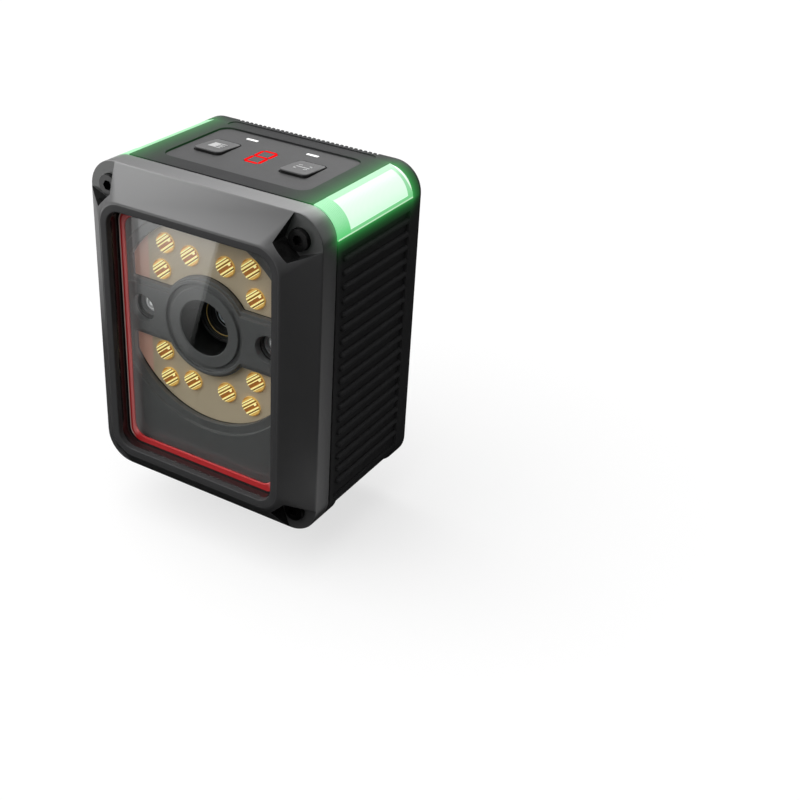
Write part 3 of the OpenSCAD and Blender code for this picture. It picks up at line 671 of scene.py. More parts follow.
PALE_BASE = (0.06, 0.07, 0.06, 1.0)
GREEN_BASE = (0.05, 0.11, 0.06, 1.0)
bar_core = bar_finish("bar_core", (0.80, 0.96, 0.84), (0.60, 0.95, 0.68), PALE_BASE, 0.4)
bar_band = bar_finish("bar_band", (0.33, 0.76, 0.42), (0.10, 0.58, 0.17), GREEN_BASE, 0.05)
bar_border = bar_finish("bar_border", (0.29, 0.65, 0.36), (0.18, 0.60, 0.24), GREEN_BASE, 0.05)
bar_line = bar_finish("bar_line", (0.85, 0.97, 0.88), (0.52, 0.82, 0.54), PALE_BASE, 0.0)
IN_CORE, IN_BAND, IN_BORDER, IN_LINE = range(4)


def turn_of(length):
    """The angle in degrees that a length takes up on a bar's outer face."""
    return math.degrees(length / CORNER_R)


LINE_TOP = BAR_LOW + turn_of(LINE_W)
CORE_LOW = BAR_LOW + turn_of(BORDER)
CORE_HIGH = BAR_HIGH - turn_of(BORDER_TOP)
CORE_FRONT_Y = BAR_FRONT_Y + BAND_L
CORE_REAR_Y = BAR_REAR_Y - CORE_REAR


def bar_point(side, radius, angle, y):
    """A point on a bar by its angle round the top edge."""
    turn = math.radians(angle)
    return (side * (EDGE_X + radius * math.cos(turn)), y, EDGE_Z + radius * math.sin(turn))


def rim_length(angle):
    """How far the bright rear rim reaches forward at an angle: a crescent, thickest half-way up."""
    share = (angle - RIM_LOW) / (RIM_HIGH - RIM_LOW)
    return RIM_MIN + RIM_L * math.sqrt(math.sin(math.pi * share)) if 0.0 < share < 1.0 else RIM_MIN


def bar_angles():
    """Where the lines along a bar run round its corner. The pad's edges are a small step wide."""
    step = turn_of(BORDER_D)
    spread = CORE_HIGH - CORE_LOW - 2.0 * step
    angles = [BAR_LOW, LINE_TOP, CORE_LOW]
    angles += [CORE_LOW + step + spread * i / BAR_STEPS for i in range(BAR_STEPS + 1)]
    return angles + [CORE_HIGH, BAR_HIGH - turn_of(LINE_W), BAR_HIGH]


def bar_stations():
    """Where the lines across a bar lie from front to rear, each with the depth of its groove."""
    pitch = BAND_L / (BAND_RIBS + 0.5)
    stations = [(BAR_FRONT_Y, 0.0)]
    for i in range(BAND_RIBS):
        at = BAR_FRONT_Y + (i + 0.5) * pitch
        stations += [(at + pitch * share, groove) for share, groove in RIB_FORM]
    core_l = CORE_REAR_Y - CORE_FRONT_Y
    stations += [(CORE_FRONT_Y, 0.0), (CORE_FRONT_Y + BORDER_D, 0.0)]
    stations += [(CORE_FRONT_Y + core_l * i / CORE_STEPS, 0.0) for i in range(1, CORE_STEPS)]
    return stations + [(CORE_REAR_Y - BORDER_D, 0.0), (CORE_REAR_Y, 0.0)]


def bar_row(side, y, groove=0.0, rim=False):
    """One loop round a bar at y. The rim's loop lies forward of it by the rim's length."""
    padded = CORE_FRONT_Y < y < CORE_REAR_Y
    drops = [(a, groove + BORDER_D * (padded and CORE_LOW < a < CORE_HIGH)) for a in bar_angles()]
    drops += [(a, BAR_T) for a in (BAR_HIGH, (BAR_LOW + BAR_HIGH) / 2.0, BAR_LOW)]
    row = [bar_point(side, CORNER_R - drop, a, y - rim_length(a) if rim else y) for a, drop in drops]
    return row if side > 0 else row[::-1]


def light_bar(name, side):
    """One bar as an arched grid: a ribbed band in front, then a lowered pad inside a border."""
    rows = [bar_row(side, y, groove) for y, groove in bar_stations()]
    rows += [bar_row(side, BAR_REAR_Y, rim=True), bar_row(side, BAR_REAR_Y, END_DROP)]
    mesh = grid_mesh(name, rows)
    loop = len(rows[0])
    work = bmesh.new()
    work.from_mesh(mesh)
    work.verts.ensure_lookup_table()
    for face in work.faces:
        centre = face.calc_center_median() / MM
        turn = math.degrees(math.atan2(centre.z - EDGE_Z, side * centre.x - EDGE_X))
        if face.index // loop == len(rows) - 2 or turn < LINE_TOP:
            face.material_index = IN_LINE
        elif centre.y < CORE_FRONT_Y:
            face.material_index = IN_BAND
        elif CORE_LOW < turn < CORE_HIGH and centre.y < CORE_REAR_Y:
            face.material_index = IN_CORE
        else:
            face.material_index = IN_BORDER
    work.faces.new([work.verts[k] for k in range(loop)]).material_index = IN_BAND
    last = (len(rows) - 1) * loop
    work.faces.new([work.verts[last + k] for k in reversed(range(loop))]).material_index = IN_LINE
    bmesh.ops.recalc_face_normals(work, faces=work.faces)
    work.to_mesh(mesh)
    work.free()
    bar = add_piece(name, mesh, "reader", bar_core, bar_band, bar_border, bar_line, sharp=30.0)
    return bar


for node, side in (("light_pipe_left", -1.0), ("light_pipe_right", 1.0)):
    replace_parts(light_bar(node + "_lit", side), node)

lamp_green, wire = new_finish("lamp_green")
haze = grain(wire, HAZE)
set_surface(
    wire,
    colour=(0.5, 0.9, 0.55, 1.0),
    glow=tint(wire, haze, (0.3, 1.0, 0.4), (0.5, 1.0, 0.6)),
)
dress(lamp_green, "status_leds")


# Lens and aimers
# A turned black barrel with a coated front lens, in a moulded holder on the image board.
# An aimer on each side, a pale grey tube, sits behind its own small lens, which carries a painted
# highlight.
LENS_Z = 5.15
RING_SPAN = 6.0
TURNED_MARK = 0.3
SPOT_EDGE = (0.45, 0.6)
RING_INNER = (1.2, 1.3)
RING_OUTER = (1.5, 1.6)

optics_black = moulded_finish(
    "optics_black", (0.012, 0.012, 0.013), (0.022, 0.022, 0.024), roughness=0.55
)
dress(optics_black, "lens_holder", "optics_frame", edge=0.15)


def radius_of(across, up):
    """A point's distance from an axis, by its offsets across and up."""
    square = across * across + up * up
    return square.math("SQRT", square)


def ring_finish(name, rings, roughness, coat):
    """A turned or coated round piece whose colour changes by the radius in millimetres."""
    material, wire = new_finish(name)
    x, _, z = axes(wire)
    radius = radius_of(x, z - LENS_Z)
    marks = grain(wire, TURNED_MARK)
    stops = [(r / RING_SPAN, colour) for r, colour in rings]
    shade = wire.node("ShaderNodeValToRGB", {"stops": stops}, {0: radius * (1.0 / RING_SPAN)})
    set_surface(wire, colour=shade, roughness=roughness + 0.06 * marks, gloss=0.4, coat=coat)
    return material


# The gold ring on the barrel is a painted glint.
BARREL_RINGS = (
    (3.9, (0.010, 0.010, 0.010)),
    (4.25, (0.012, 0.012, 0.012)),
    (4.32, (0.55, 0.38, 0.12)),
    (4.46, (0.55, 0.38, 0.12)),
    (4.55, (0.014, 0.014, 0.014)),
    (5.9, (0.03, 0.03, 0.03)),
)
# The pale rings on the lens glass are painted glints.
LENS_RINGS = (
    (0.0, (0.020, 0.026, 0.034)),
    (1.6, (0.020, 0.024, 0.030)),
    (1.75, (0.62, 0.68, 0.74)),
    (2.15, (0.58, 0.64, 0.70)),
    (2.3, (0.006, 0.006, 0.007)),
    (2.9, (0.006, 0.006, 0.007)),
    (3.05, (0.30, 0.31, 0.32)),
    (3.45, (0.28, 0.29, 0.30)),
    (3.6, (0.005, 0.005, 0.005)),
)
barrel_rings = ring_finish("barrel_rings", BARREL_RINGS, roughness=0.35, coat=0.0)
lens_coated = ring_finish("lens_coated", LENS_RINGS, roughness=0.06, coat=0.5)
dress(barrel_rings, "lens_barrel", edge=0.06)
dress(lens_coated, "lens_glass")
aimer_grey = moulded_finish(
    "aimer_grey", (0.16, 0.16, 0.165), (0.20, 0.20, 0.205), roughness=0.3, gloss=0.5
)
dress(aimer_grey, "aimer_left", "aimer_right", edge=0.12)
aimer_low, aimer_high = corners("aimer_right")
AIMER_X = (aimer_low.x + aimer_high.x) / 2.0
aimer_frost, wire = new_finish("aimer_frost")
x, y, z = axes(wire)
radius = radius_of(abs(x) - AIMER_X, z - LENS_Z)
# A painted highlight: a glowing spot and ring on the aimer's lens.
bright = radius.fade(*SPOT_EDGE) + radius.fade(*RING_OUTER) * (1.0 - radius.fade(*RING_INNER))
haze = grain(wire, 2.0 * HAZE)
set_surface(
    wire,
    colour=tint(wire, haze, (0.46, 0.46, 0.47), (0.60, 0.60, 0.61)),
    roughness=0.12,
    gloss=0.6,
    glow=tint(wire, bright, (0.04, 0.04, 0.04), (0.42, 0.42, 0.42)),
)
dress(aimer_frost, "aimer_lenses")


# Lamp board and lamps
# A tan board with twelve gold-plated lamps, which show through the openings of the optics carrier.
# Slanting ribs are pressed into each lamp's face. Their tops carry painted highlights in pale cream and
# their grooves painted shade in brown, and all the gold carries a painted glow.
# The board carries painted shade inside the aimers' holes,
# and painted red bounce light from the gasket at both ends.
AIMER_HOLE_R = 4.2
HOLE_FADE = 0.3
RED_BOUNCE_X = 15.6
RED_BOUNCE_FADE = 0.5
STAIN = 4.0
SHADED_GREY = (0.10, 0.10, 0.10)
LAMP_R = 2.25
LAMP_H = 0.58
RIB_H = 0.2
RIB_SLANT = math.radians(39.5)
RIB_ALONG = Vector((math.cos(RIB_SLANT), 0.0, math.sin(RIB_SLANT)))
RIB_ACROSS = Vector((-math.sin(RIB_SLANT), 0.0, math.cos(RIB_SLANT)))
LAMP_PLACES = ((10.939, 15.983), (4.553, 14.752), (12.133, 9.690))
LAMP_Y = -36.0
PAD_AT = (1.15, 1.85)
PAD_ACROSS = (-0.28, 0.28)
PLATE_MARK = 0.25
MERGE = 1e-7

lamp_board_tan, wire = new_finish("lamp_board_tan")
x, y, z = axes(wire)
# Painted shade inside the aimers' holes.
shaded = radius_of(abs(x) - AIMER_X, z - LENS_Z).fade(AIMER_HOLE_R, AIMER_HOLE_R + HOLE_FADE)
weave = grain(wire, WEAVE, detail=1.0)
stain = grain(wire, STAIN)
tone_with_painted_shade = (0.90 + 0.08 * weave + 0.08 * stain) * (1.0 - shaded)
# Painted red bounce light from the gasket at both ends, in the colour and in a glow.
red_bounce = (1.0 - abs(x).fade(RED_BOUNCE_X, RED_BOUNCE_X + RED_BOUNCE_FADE)) * (1.0 - shaded)
plain = tint(wire, tone_with_painted_shade, SHADED_GREY, (0.60, 0.495, 0.352))
with_red_bounce = tint(wire, tone_with_painted_shade, SHADED_GREY, (0.62, 0.40, 0.31))
set_surface(
    wire,
    colour=tint(wire, red_bounce, plain, with_red_bounce),
    glow=tint(wire, red_bounce, UNLIT, (0.07, 0.032, 0.026)),
    roughness=0.42 + 0.1 * weave,
    gloss=0.3,
    bump=bump(wire, weave, MOULD_DEPTH),
)
dress(lamp_board_tan, "led_board")
phosphor = moulded_finish("phosphor", (0.7, 0.42, 0.1), (0.85, 0.55, 0.18))
dress(phosphor, "led_emitters")


def lamp_finish(name, colour, glow):
    """Gold plate with a painted glow, so that part of its colour is painted light."""
    material, wire = new_finish(name)
    marks = grain(wire, PLATE_MARK, detail=3.0)
    set_surface(
        wire,
        colour=tint(wire, marks, [c * 0.86 for c in colour], colour),
        roughness=0.3 + 0.1 * marks,
        gloss=0.3,
        glow=tint(wire, marks, [c * glow * 0.9 for c in colour], [c * glow for c in colour]),
    )
    return material


lamp_finishes = (
    lamp_finish("lamp_painted_highlight", (1.0, 0.88, 0.40), 0.7),
    lamp_finish("lamp_gold", (0.74, 0.46, 0.12), 0.45),
    lamp_finish("lamp_painted_shade", (0.36, 0.135, 0.028), 0.42),
    lamp_finish("lamp_groove_painted_shade", (0.13, 0.075, 0.008), 0.3),
    lamp_finish("lamp_amber", (0.52, 0.23, 0.045), 0.35),
)
HIGHLIGHT_BAND, GOLD, SHADE_BAND, GROOVE_SHADE_BAND, AMBER = range(5)
# The pale bands are painted highlights, and the brown and groove bands are painted shade.
# Each band ends at a distance across the lamp, and has a finish and a share of the ribs' height.
LAMP_BANDS = (
    (-2.00, AMBER, 0.4),
    (-1.50, GOLD, 0.7),
    (-1.36, HIGHLIGHT_BAND, 0.9),
    (-1.10, GROOVE_SHADE_BAND, 0.0),
    (-1.00, GOLD, 0.6),
    (-0.74, HIGHLIGHT_BAND, 1.0),
    (-0.64, GOLD, 0.6),
    (0.14, SHADE_BAND, 0.2),
    (0.32, HIGHLIGHT_BAND, 0.9),
    (0.42, GOLD, 0.5),
    (0.66, GROOVE_SHADE_BAND, 0.0),
    (0.78, GOLD, 0.6),
    (1.04, HIGHLIGHT_BAND, 1.0),
    (1.16, GOLD, 0.6),
    (1.32, GROOVE_SHADE_BAND, 0.1),
    (1.54, HIGHLIGHT_BAND, 0.9),
    (1.90, GOLD, 0.8),
    (2.23, AMBER, 0.6),
)


def band_lines():
    """The lines across a lamp's face at which its bands start and end."""
    lines = []
    start = -LAMP_BANDS[-1][0]
    for end, finish, high in LAMP_BANDS:
        lines += [(start, high, finish), (end, high, finish)]
        start = end
    return lines


def add_lamp(work, middle):
    """One lamp: a round cap crossed by straight slanting ribs, with a raised pad near its end whose top
    is a painted highlight.
    """

    def point(along, across, lift):
        return middle + RIB_ACROSS * across + RIB_ALONG * along + Vector((0.0, -lift, 0.0))

    lines = band_lines()
    left, right = [], []
    for place, high, _ in lines:
        half = math.sqrt(LAMP_R**2 - place**2)
        lift = LAMP_H - RIB_H * (1.0 - high)
        left.append(work.verts.new(point(-half, place, lift) * MM))
        right.append(work.verts.new(point(half, place, lift) * MM))
    for k in range(len(lines) - 1):
        strip = work.faces.new((left[k], right[k], right[k + 1], left[k + 1]))
        wall = lines[k][0] == lines[k + 1][0]
        strip.material_index = GOLD if wall else lines[k][2]
    edge = left + right[::-1]
    foot = [work.verts.new((v.co.x, LAMP_Y * MM, v.co.z)) for v in edge]
    for k in range(len(edge)):
        n = (k + 1) % len(edge)
        if min((edge[k].co - edge[n].co).length, (foot[k].co - foot[n].co).length) > MERGE:
            work.faces.new((edge[k], edge[n], foot[n], foot[k])).material_index = GOLD
    outline = [(PAD_AT[i], PAD_ACROSS[j]) for i, j in ((0, 0), (1, 0), (1, 1), (0, 1))]
    layers = [[point(a, c, lift) for a, c in outline] for lift in (LAMP_H - RIB_H, LAMP_H)]
    closed_prism(work, *layers, finishes=(GOLD, HIGHLIGHT_BAND, GOLD))


def lamp_faces():
    """All twelve lamps as one mesh, alike above and below the lens and on both sides of it."""
    work = bmesh.new()
    for from_lens_x, from_lens_z in LAMP_PLACES:
        for sx, sz in QUARTERS:
            add_lamp(work, Vector((sx * from_lens_x, LAMP_Y, LENS_Z + sz * from_lens_z)))
    bmesh.ops.remove_doubles(work, verts=work.verts, dist=MERGE)
    bmesh.ops.holes_fill(work, edges=work.edges)
    bmesh.ops.recalc_face_normals(work, faces=work.faces)
    return mesh_from("lamp_faces", work)


lamps = add_piece("lamp_faces", lamp_faces(), "reader", *lamp_finishes, sharp=5.0)
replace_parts(lamps, "led_reflectors")


# Optics carrier
# A dark grey moulded plate in front of the lamp board, with stepped openings for the lamps.
# Its cross bar holds the lens ring and two aimer holes, and screws from behind hold it.
# The bore in front of the lens is near black, a painted contact shadow lies on the walls at the lamp
# board, and both ends carry a little painted bounce light from the gasket.
BORE_R = 6.6
BORE_FADE = 0.05
FACE_Y = corners("optics_carrier")[0].y
FACE_FADE = (FACE_Y + 0.15, FACE_Y + 0.5)
FOOT_SHADOW_FADE = (LAMP_Y - 0.55, LAMP_Y - 0.45)
END_LIGHT_FADE = (17.6, 19.6)

carrier_grey, wire = new_finish("carrier_grey")
x, y, z = axes(wire)
in_bore = radius_of(x, z - LENS_Z).fade(BORE_R - BORE_FADE, BORE_R + BORE_FADE)
below_face = 1.0 - y.fade(*FACE_FADE)
# A painted contact shadow on the walls where they meet the lamp board.
foot_shadow = 1.0 - y.fade(*FOOT_SHADOW_FADE)
mottle, texture = moulded_grain(wire)
tone_with_painted_shade = (1.0 - (in_bore * below_face).at_least(foot_shadow)) * (0.9 + 0.2 * mottle)
set_surface(
    wire,
    colour=tint(wire, tone_with_painted_shade, (0.007, 0.007, 0.007), (0.114, 0.114, 0.115)),
    roughness=0.36 + 0.12 * texture,
    gloss=0.3,
    # A little painted bounce light at both ends, beside the gasket.
    glow=tint(wire, abs(x).fade(*END_LIGHT_FADE), (0.075, 0.073, 0.073), UNLIT),
    bump=bump(wire, texture, MOULD_DEPTH),
)
dress(carrier_grey, "optics_carrier", edge=0.26)


# Window
# A clear cover glass in a red silicone gasket. The carrier presses both against the frame's shoulder.
# The gasket's outer edge along the frame carries a painted shadow, deeper at the top. On both upright
# sides a painted highlight line runs beside that shadow, and a paler painted sheen lies on the inner
# part.
OPENING_IN = 8.4
OPENING_R = 3.45
GAP_W = 0.24
HIGHLIGHT_W = 0.3
LINE_FADE = 0.06
TOP_SHADE = 0.5
TOP_FADE = (10.0, 20.0)
SIDE_FADE = (-1.0, 1.5)
SHEEN_FROM = 0.95
SHEEN_FADE = 0.2
SMEAR = 6.0

gasket_red, wire = new_finish("gasket_red")
x, y, z = axes(wire)
beside = abs(x) - (HALF_W - OPENING_IN - OPENING_R)
above = abs(z) - (HALF_H - OPENING_IN - OPENING_R)
from_middle = radius_of(beside.at_least(0.0), above.at_least(0.0))
inset = OPENING_R - from_middle - wire.math("MINIMUM", beside.at_least(above), 0.0)
upright = (above - beside).fade(*SIDE_FADE)
shade = inset - TOP_SHADE * (1.0 - upright) * (1.0 - z.fade(*TOP_FADE))
# Painted shadow in the gap along the frame, with a painted highlight line beside it on the upright
# sides.
gap_shadow = shade.fade(GAP_W, GAP_W + LINE_FADE)
edge_highlight = shade.fade(GAP_W + HIGHLIGHT_W, GAP_W + HIGHLIGHT_W + LINE_FADE) * (1.0 - gap_shadow) * upright
# A paler painted sheen on the inner part of the upright sides.
pale = (1.0 - inset.fade(SHEEN_FROM, SHEEN_FROM + SHEEN_FADE)) * upright
mottle, texture = moulded_grain(wire)
plain = tint(wire, mottle, (0.46, 0.016, 0.019), (0.55, 0.022, 0.025))
red = tint(wire, pale, plain, (0.80, 0.20, 0.20))
with_highlight = tint(wire, edge_highlight, red, (0.62, 0.46, 0.42))
set_surface(
    wire,
    colour=tint(wire, gap_shadow, with_highlight, (0.003, 0.002, 0.002)),
    roughness=0.32 + 0.12 * texture,
    gloss=0.5,
    bump=bump(wire, texture, MOULD_DEPTH),
)
dress(gasket_red, "window_gasket", edge=0.18)


def set_output(wire, shader):
    """Makes a shader the material's surface."""
    wire.feed(wire.tree.nodes["Material Output"].inputs["Surface"], shader)


def clear_finish(name, through_colour, share, roughness):
    """Clear glass: light goes straight through, with a glossy share that grows with the angle."""
    material, wire = new_finish(name)
    wire.tree.nodes.remove(wire.tree.nodes["Principled BSDF"])
    smear = grain(wire, SMEAR, detail=3.0)
    through = wire.node("ShaderNodeBsdfTransparent", inputs={"Color": through_colour})
    mirror = wire.node("ShaderNodeBsdfAnisotropic", inputs={"Roughness": roughness})
    turned = wire.node("ShaderNodeLayerWeight", inputs={"Blend": 0.5}, output="Facing")
    gloss = (share + (1.0 - share) * wire.math("POWER", turned, 5.0)) * (0.92 + 0.16 * smear)
    set_output(wire, wire.node("ShaderNodeMixShader", inputs={0: gloss, 1: through, 2: mirror}))
    return material


window_clear = clear_finish("window_clear", (0.97, 0.98, 0.975, 1.0), share=0.04, roughness=0.01)
dress(window_clear, "window_glass")


# Front frame
# A die-cast frame with sloped faces, a satin graphite coat and a pocket for a screw at each corner.
# Its lip and the narrow bevel round the window are matt, and the walls of the pockets and of the window
# are near black and smooth. A flat seal lies behind the frame.
LIP_Y = corners("front_bezel")[0].y
PARTING_Y = -32.8
RIM_D = 5.0
RIM_Y = PARTING_Y - RIM_D
SHOULDER_D = 3.4
SHOULDER_Y = LIP_Y + SHOULDER_D
SLOPE_IN = 6.35
LIP_R = 5.5
BEVEL_IN = 0.1
BEVEL_D = 1.2
SEAT_IN = 7.2
SCREW_IN = 5.25
SCREW_SEAT_R = 2.35
SCREW_SEAT_D = 1.5
SCREW_SEAT_SIDES = 40
POCKET = ((6.7, -1.0), (6.7, 0.0), (8.8, 5.4), (5.4, 8.8), (0.0, 6.7), (-1.0, 6.7), (-1.0, -1.0))
POCKET_OVER = 2.0
SEAT_OVER = 0.5
GRAPHITE_DARK = (0.040, 0.040, 0.041)
GRAPHITE_PALE = (0.047, 0.047, 0.048)
FLAKE = 0.12
FLAKE_DEPTH = 0.005
GRAPHITE_MOTTLE = 8.0
RECESS_SMEAR = 1.5

frame_graphite, wire = new_finish("frame_graphite")
flake = grain(wire, FLAKE)
mottle = grain(wire, GRAPHITE_MOTTLE)
set_surface(
    wire,
    colour=tint(wire, mottle, GRAPHITE_DARK, GRAPHITE_PALE),
    roughness=0.34 + 0.10 * flake,
    gloss=0.6,
    # Near the light bars the frame's coat carries the same painted green glow.
    glow=painted_bar_glow(wire),
    bump=bump(wire, flake, FLAKE_DEPTH),
)
bevel_matt = moulded_finish("bevel_matt", GRAPHITE_DARK, GRAPHITE_PALE, roughness=0.5, gloss=0.12)
recess_black, wire = new_finish("recess_black")
smear = grain(wire, RECESS_SMEAR, detail=3.0)
set_surface(
    wire,
    colour=tint(wire, smear, (0.006, 0.006, 0.006), (0.011, 0.011, 0.011)),
    roughness=0.10 + 0.10 * smear,
    gloss=0.4,
)
COATED, SMOOTH, MATT = range(3)


def rounded(profile, steps):
    """Rounds the corners of a closed profile whose points are (inset, y, radius)."""
    made = []
    for k, (inset, y, radius) in enumerate(profile):
        corner = Vector((inset, y))
        before = (Vector(profile[k - 1][:2]) - corner).normalized()
        after = (Vector(profile[(k + 1) % len(profile)][:2]) - corner).normalized()
        half = before.angle(after) / 2.0
        centre = corner + (before + after).normalized() * (radius / math.sin(half))
        start = corner + before * (radius / math.tan(half)) - centre
        end = corner + after * (radius / math.tan(half)) - centre
        made += [centre + start.lerp(end, i / steps).normalized() * radius for i in range(steps + 1)]
    return made


def frame_outline(inset, y, steps=20):
    """One loop of the frame: a rectangle with round corners, that far inside the outer edge."""
    if inset <= SLOPE_IN:
        radius = CORNER_R + (LIP_R - CORNER_R) * inset / SLOPE_IN
    else:
        radius = LIP_R - (inset - SLOPE_IN)
    loop = []
    for quarter, (sx, sz) in enumerate(((1, 1), (-1, 1), (-1, -1), (1, -1))):
        centre_x = sx * (HALF_W - inset - radius)
        centre_z = sz * (HALF_H - inset - radius)
        for i in range(steps + 1):
            turn = math.radians(90.0 * (quarter + i / steps))
            loop.append((centre_x + radius * math.cos(turn), y, centre_z + radius * math.sin(turn)))
    return loop


def corner_cutter(name, outline, y0, y1):
    """A cutter with the same prism along Y at all four corners, by an outline from the outer corner."""
    work = bmesh.new()
    ends_and_walls = (COATED, COATED, SMOOTH)
    for sx, sz in QUARTERS:
        ring = [(sx * (HALF_W - u), sz * (HALF_H - v)) for u, v in outline]
        layers = [[(x, y, z) for x, z in ring] for y in (y0, y1)]
        closed_prism(work, *layers, finishes=ends_and_walls)
    bmesh.ops.recalc_face_normals(work, faces=work.faces)
    mesh = mesh_from(name, work)
    mesh.materials.append(frame_graphite)
    mesh.materials.append(recess_black)
    cutter = bpy.data.objects.new(name, mesh)
    bpy.context.collection.objects.link(cutter)
    return cutter


def cut(piece, cutter):
    """Takes a cutter out of a piece, which takes the cutter's finishes there, and deletes it."""
    knife = piece.modifiers.new("cut", "BOOLEAN")
    knife.object = cutter
    knife.operation = "DIFFERENCE"
    knife.solver = "EXACT"
    knife.material_mode = "TRANSFER"
    seen = piece.evaluated_get(bpy.context.evaluated_depsgraph_get())
    mesh = bpy.data.meshes.new_from_object(seen)
    piece.modifiers.clear()
    piece.data = mesh
    bpy.data.objects.remove(cutter)


# The frame's section as (inset, y, radius), from the parting line over the lip to the glass's seat.
frame_profile = (
    (0.0, PARTING_Y, 0.25),
    (0.0, RIM_Y, 0.6),
    (SLOPE_IN, LIP_Y, 0.9),
    (OPENING_IN - BEVEL_IN, LIP_Y, 0.25),
    (OPENING_IN, LIP_Y + BEVEL_D, 0.25),
    (OPENING_IN, SHOULDER_Y, 0.1),
    (SEAT_IN, SHOULDER_Y, 0.1),
    (SEAT_IN, PARTING_Y, 0.2),
)
# Each corner of the section takes ROUND_STEPS + 1 loops, so a flat between two corners is one row.
ROUND_STEPS = 6
LIP_ROW = 3 * (ROUND_STEPS + 1) - 1
WALL_ROW = 5 * (ROUND_STEPS + 1) - 1
frame_loops = [frame_outline(inset, y) for inset, y in rounded(frame_profile, ROUND_STEPS)]
frame_mesh = grid_mesh("front_frame", frame_loops, wrap_rows=True)
front_frame = add_piece("front_frame", frame_mesh, "reader", frame_graphite, recess_black, bevel_matt)
for face in frame_mesh.polygons:
    row = face.index // len(frame_loops[0])
    if row == WALL_ROW:
        face.material_index = SMOOTH
    elif LIP_ROW <= row < WALL_ROW:
        face.material_index = MATT
cut(front_frame, corner_cutter("pockets", POCKET, RIM_Y, LIP_Y - POCKET_OVER))
turns = [2.0 * math.pi * i / SCREW_SEAT_SIDES for i in range(SCREW_SEAT_SIDES)]
seat = [(SCREW_IN + SCREW_SEAT_R * math.cos(t), SCREW_IN + SCREW_SEAT_R * math.sin(t)) for t in turns]
cut(front_frame, corner_cutter("screw_seats", seat, RIM_Y + SCREW_SEAT_D, RIM_Y - SEAT_OVER))
soften(front_frame, 0.22, segments=3, angle=42.0)
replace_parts(front_frame, "front_bezel")
dress(seal_rubber, "bezel_seal")


# Corner screws
# Four socket-head screws of black-oxide steel, one in each corner pocket.
# They go through the frame into the housing's bosses and press the seal.
screw_black = metal_finish("screw_black", (0.02, 0.02, 0.02), (0.045, 0.045, 0.045), 0.34)
dress(screw_black, "bezel_screws", edge=0.15)


# Stage
# A plain white floor under the ports and soft studio light from above and from the front left.
# Cards that show only in reflections give the sloped faces their sheen and keep the right side deep.
# The camera stands at the photograph's angle.
FLOOR_SPAN = 6000.0
FLOOR_GAP = 0.1
FLOOR_Z = cad_box[0].z / MM - FLOOR_GAP
FLOOR_PALE = (0.32, 0.32, 0.32)
FLOOR_LIFT = (0.68, 0.68, 0.68)
FLOOR_BOUNCE = (0.09, 0.09, 0.09)


def seen_ray(wire):
    """1 for rays from the camera, mirrors and clear pieces, 0 for light between matt surfaces."""
    camera_ray = wire.node("ShaderNodeLightPath", output="Is Camera Ray")
    glossy_ray = wire.node("ShaderNodeLightPath", output="Is Glossy Ray")
    clear_ray = wire.node("ShaderNodeLightPath", output="Is Transmission Ray")
    return camera_ray.at_least(glossy_ray).at_least(clear_ray)


def stage_sheet(name, outline, material):
    """A flat sheet of the studio by its corners in millimetres."""
    mesh = bpy.data.meshes.new(name)
    mesh.from_pydata([Vector(c) * MM for c in outline], [], [tuple(range(len(outline)))])
    mesh.materials.append(material)
    sheet = bpy.data.objects.new(name, mesh)
    bpy.context.collection.objects.link(sheet)
    return sheet


def level(z, *points):
    """Corners of a level sheet at that height."""
    return [(x, y, z) for x, y in points]


# The floor shows only from above, so that it doesn't hide the part from below.
floor_white, wire = new_finish("floor_white")
seen = seen_ray(wire)
below = wire.node("ShaderNodeNewGeometry", output="Backfacing")
clear = wire.node("ShaderNodeBsdfTransparent")
solid = Wire(wire.tree, wire.tree.nodes["Principled BSDF"].outputs["BSDF"])
set_output(wire, wire.node("ShaderNodeMixShader", inputs={0: below, 1: solid, 2: clear}))
set_surface(
    wire,
    colour=tint(wire, seen, FLOOR_BOUNCE, FLOOR_PALE),
    roughness=0.9,
    gloss=0.0,
    glow=tint(wire, seen, UNLIT, FLOOR_LIFT),
)
floor_corners = [(x * FLOOR_SPAN, y * FLOOR_SPAN) for x, y in ((-1, -1), (1, -1), (1, 1), (-1, 1))]
stage_sheet("floor", level(FLOOR_Z, *floor_corners), floor_white)

SKY_LOW = 0.02
SKY_HIGH = 0.9
FILL_FROM = Vector((-0.45, -0.85, 0.25)).normalized()
world = bpy.data.worlds.new("studio")
bpy.context.scene.world = world
world.use_nodes = True
wire = Wire(world.node_tree)
heading = wire.node("ShaderNodeTexCoord", output="Generated")
toward = wire.node(
    "ShaderNodeVectorMath", {"operation": "DOT_PRODUCT"}, {0: heading, 1: FILL_FROM}, output="Value"
)
facing = toward * 0.5 + 0.5
fill = SKY_LOW + (SKY_HIGH - SKY_LOW) * facing * facing
seen = seen_ray(wire)
sky = world.node_tree.nodes["Background"]
sky.inputs["Color"].default_value = (1.0, 1.0, 1.0, 1.0)
wire.feed(sky.inputs["Strength"], fill * (1.0 - seen) + seen)

CEILING_SPREAD = 84.0
CEILING_ENERGY = 2.5
CEILING_TOWARD = Vector((0.38, 0.32, -1.0))
ceiling = bpy.data.lights.new("ceiling", "SUN")
ceiling.angle = math.radians(CEILING_SPREAD)
ceiling.energy = CEILING_ENERGY
ceiling_lamp = bpy.data.objects.new("ceiling", ceiling)
ceiling_lamp.rotation_euler = CEILING_TOWARD.to_track_quat("-Z", "Y").to_euler()
ceiling_lamp.visible_glossy = False
bpy.context.collection.objects.link(ceiling_lamp)


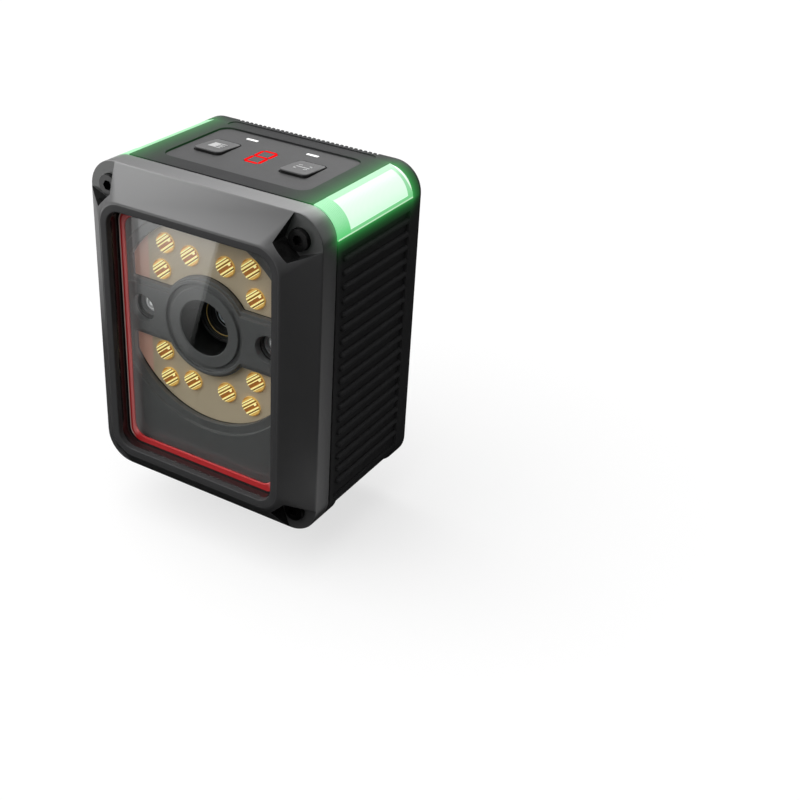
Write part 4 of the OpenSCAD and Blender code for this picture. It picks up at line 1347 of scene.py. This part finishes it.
def card(name, outline, low=0.0, high=0.0, start=0.0, end=1.0, axis=0):
    """A card that shows only in reflections. Its light goes from low at start to high at end."""
    material, wire = new_finish(name)
    place = axes(wire)[axis]
    set_surface(
        wire,
        colour=(*UNLIT, 1.0),
        gloss=0.0,
        roughness=1.0,
        glow=tint(wire, place.fade(end, start), (low,) * 3, (high,) * 3),
    )
    piece = stage_sheet(name, outline, material)
    piece.visible_camera = False
    piece.visible_diffuse = False
    piece.visible_shadow = False
    piece.visible_transmission = False


CARD_Z = 330.0
FLAG_Z = FLOOR_Z + 0.7
RIM_CARD_Z = FLAG_Z + 0.3
WALL_LOW = -47
WALL_HIGH = 420
WALL_FAR = 900
overhead = level(CARD_Z, (-620, -520), (60, -520), (60, 250), (-620, 250))
card("overhead_card", overhead, low=1.2, high=6.2, start=-60.0, end=-330.0)
behind = level(CARD_Z, (-900, 300), (100, 300), (100, 1100), (-900, 1100))
card("back_card", behind, low=5.8, start=-320.0, end=-485.0)
haze_edge = ((-43.6, -84.6), (-60.8, -110.8), (-96.9, -169.8), (-300.0, -502.0))
card("dark_flag", level(FLAG_Z, *haze_edge, (900, -502), (900, 600), (40, 600), (10, 9)))
left_floor = level(FLAG_Z, *haze_edge, (-700, -502), (-700, 9), (10, 9))
card("haze_card", left_floor, high=4.2, start=-88.0, end=-215.0, axis=1)
beside_rim = level(RIM_CARD_Z, (40, -17), (140, 143), (140, 93), (40, -67))
card("rim_card", beside_rim, low=1.1, high=1.1)
for name, x0, y0, x1, y1 in (
    ("dark_wall", -100, -WALL_FAR, WALL_FAR, -WALL_FAR),
    ("dark_side", WALL_FAR, -WALL_FAR, WALL_FAR, 300),
):
    foot = ((x0, y0), (x1, y1))
    card(name, level(WALL_LOW, *foot) + level(WALL_HIGH, *foot[::-1]))

CAMERA_PLACE = (147.61, -223.86, 127.70)
CAMERA_AZIMUTH = math.radians(30.283)
CAMERA_ELEVATION = math.radians(29.783)
CAMERA_ROLL = math.radians(-2.741)
CAMERA_SHIFT = (0.0470, -0.0181)
CAMERA_NEAR = 10.0
FOCAL_SHARE = 1264.8 / 800.0
SENSOR_W = 36.0
lens = bpy.data.cameras.new("camera")
lens.sensor_width = SENSOR_W
lens.lens = FOCAL_SHARE * SENSOR_W
lens.shift_x, lens.shift_y = CAMERA_SHIFT
lens.clip_start = CAMERA_NEAR * MM
camera = bpy.data.objects.new("camera", lens)
run = math.cos(CAMERA_ELEVATION)
rise = math.sin(CAMERA_ELEVATION)
back_axis = Vector((math.sin(CAMERA_AZIMUTH) * run, -math.cos(CAMERA_AZIMUTH) * run, rise))
aimed = back_axis.to_track_quat("Z", "Y").to_matrix().to_4x4()
rolled = aimed @ Matrix.Rotation(-CAMERA_ROLL, 4, "Z")
camera.matrix_world = Matrix.Translation(Vector(CAMERA_PLACE) * MM) @ rolled
bpy.context.collection.objects.link(camera)
bpy.context.scene.camera = camera
bpy.context.scene.view_settings.view_transform = "Standard"
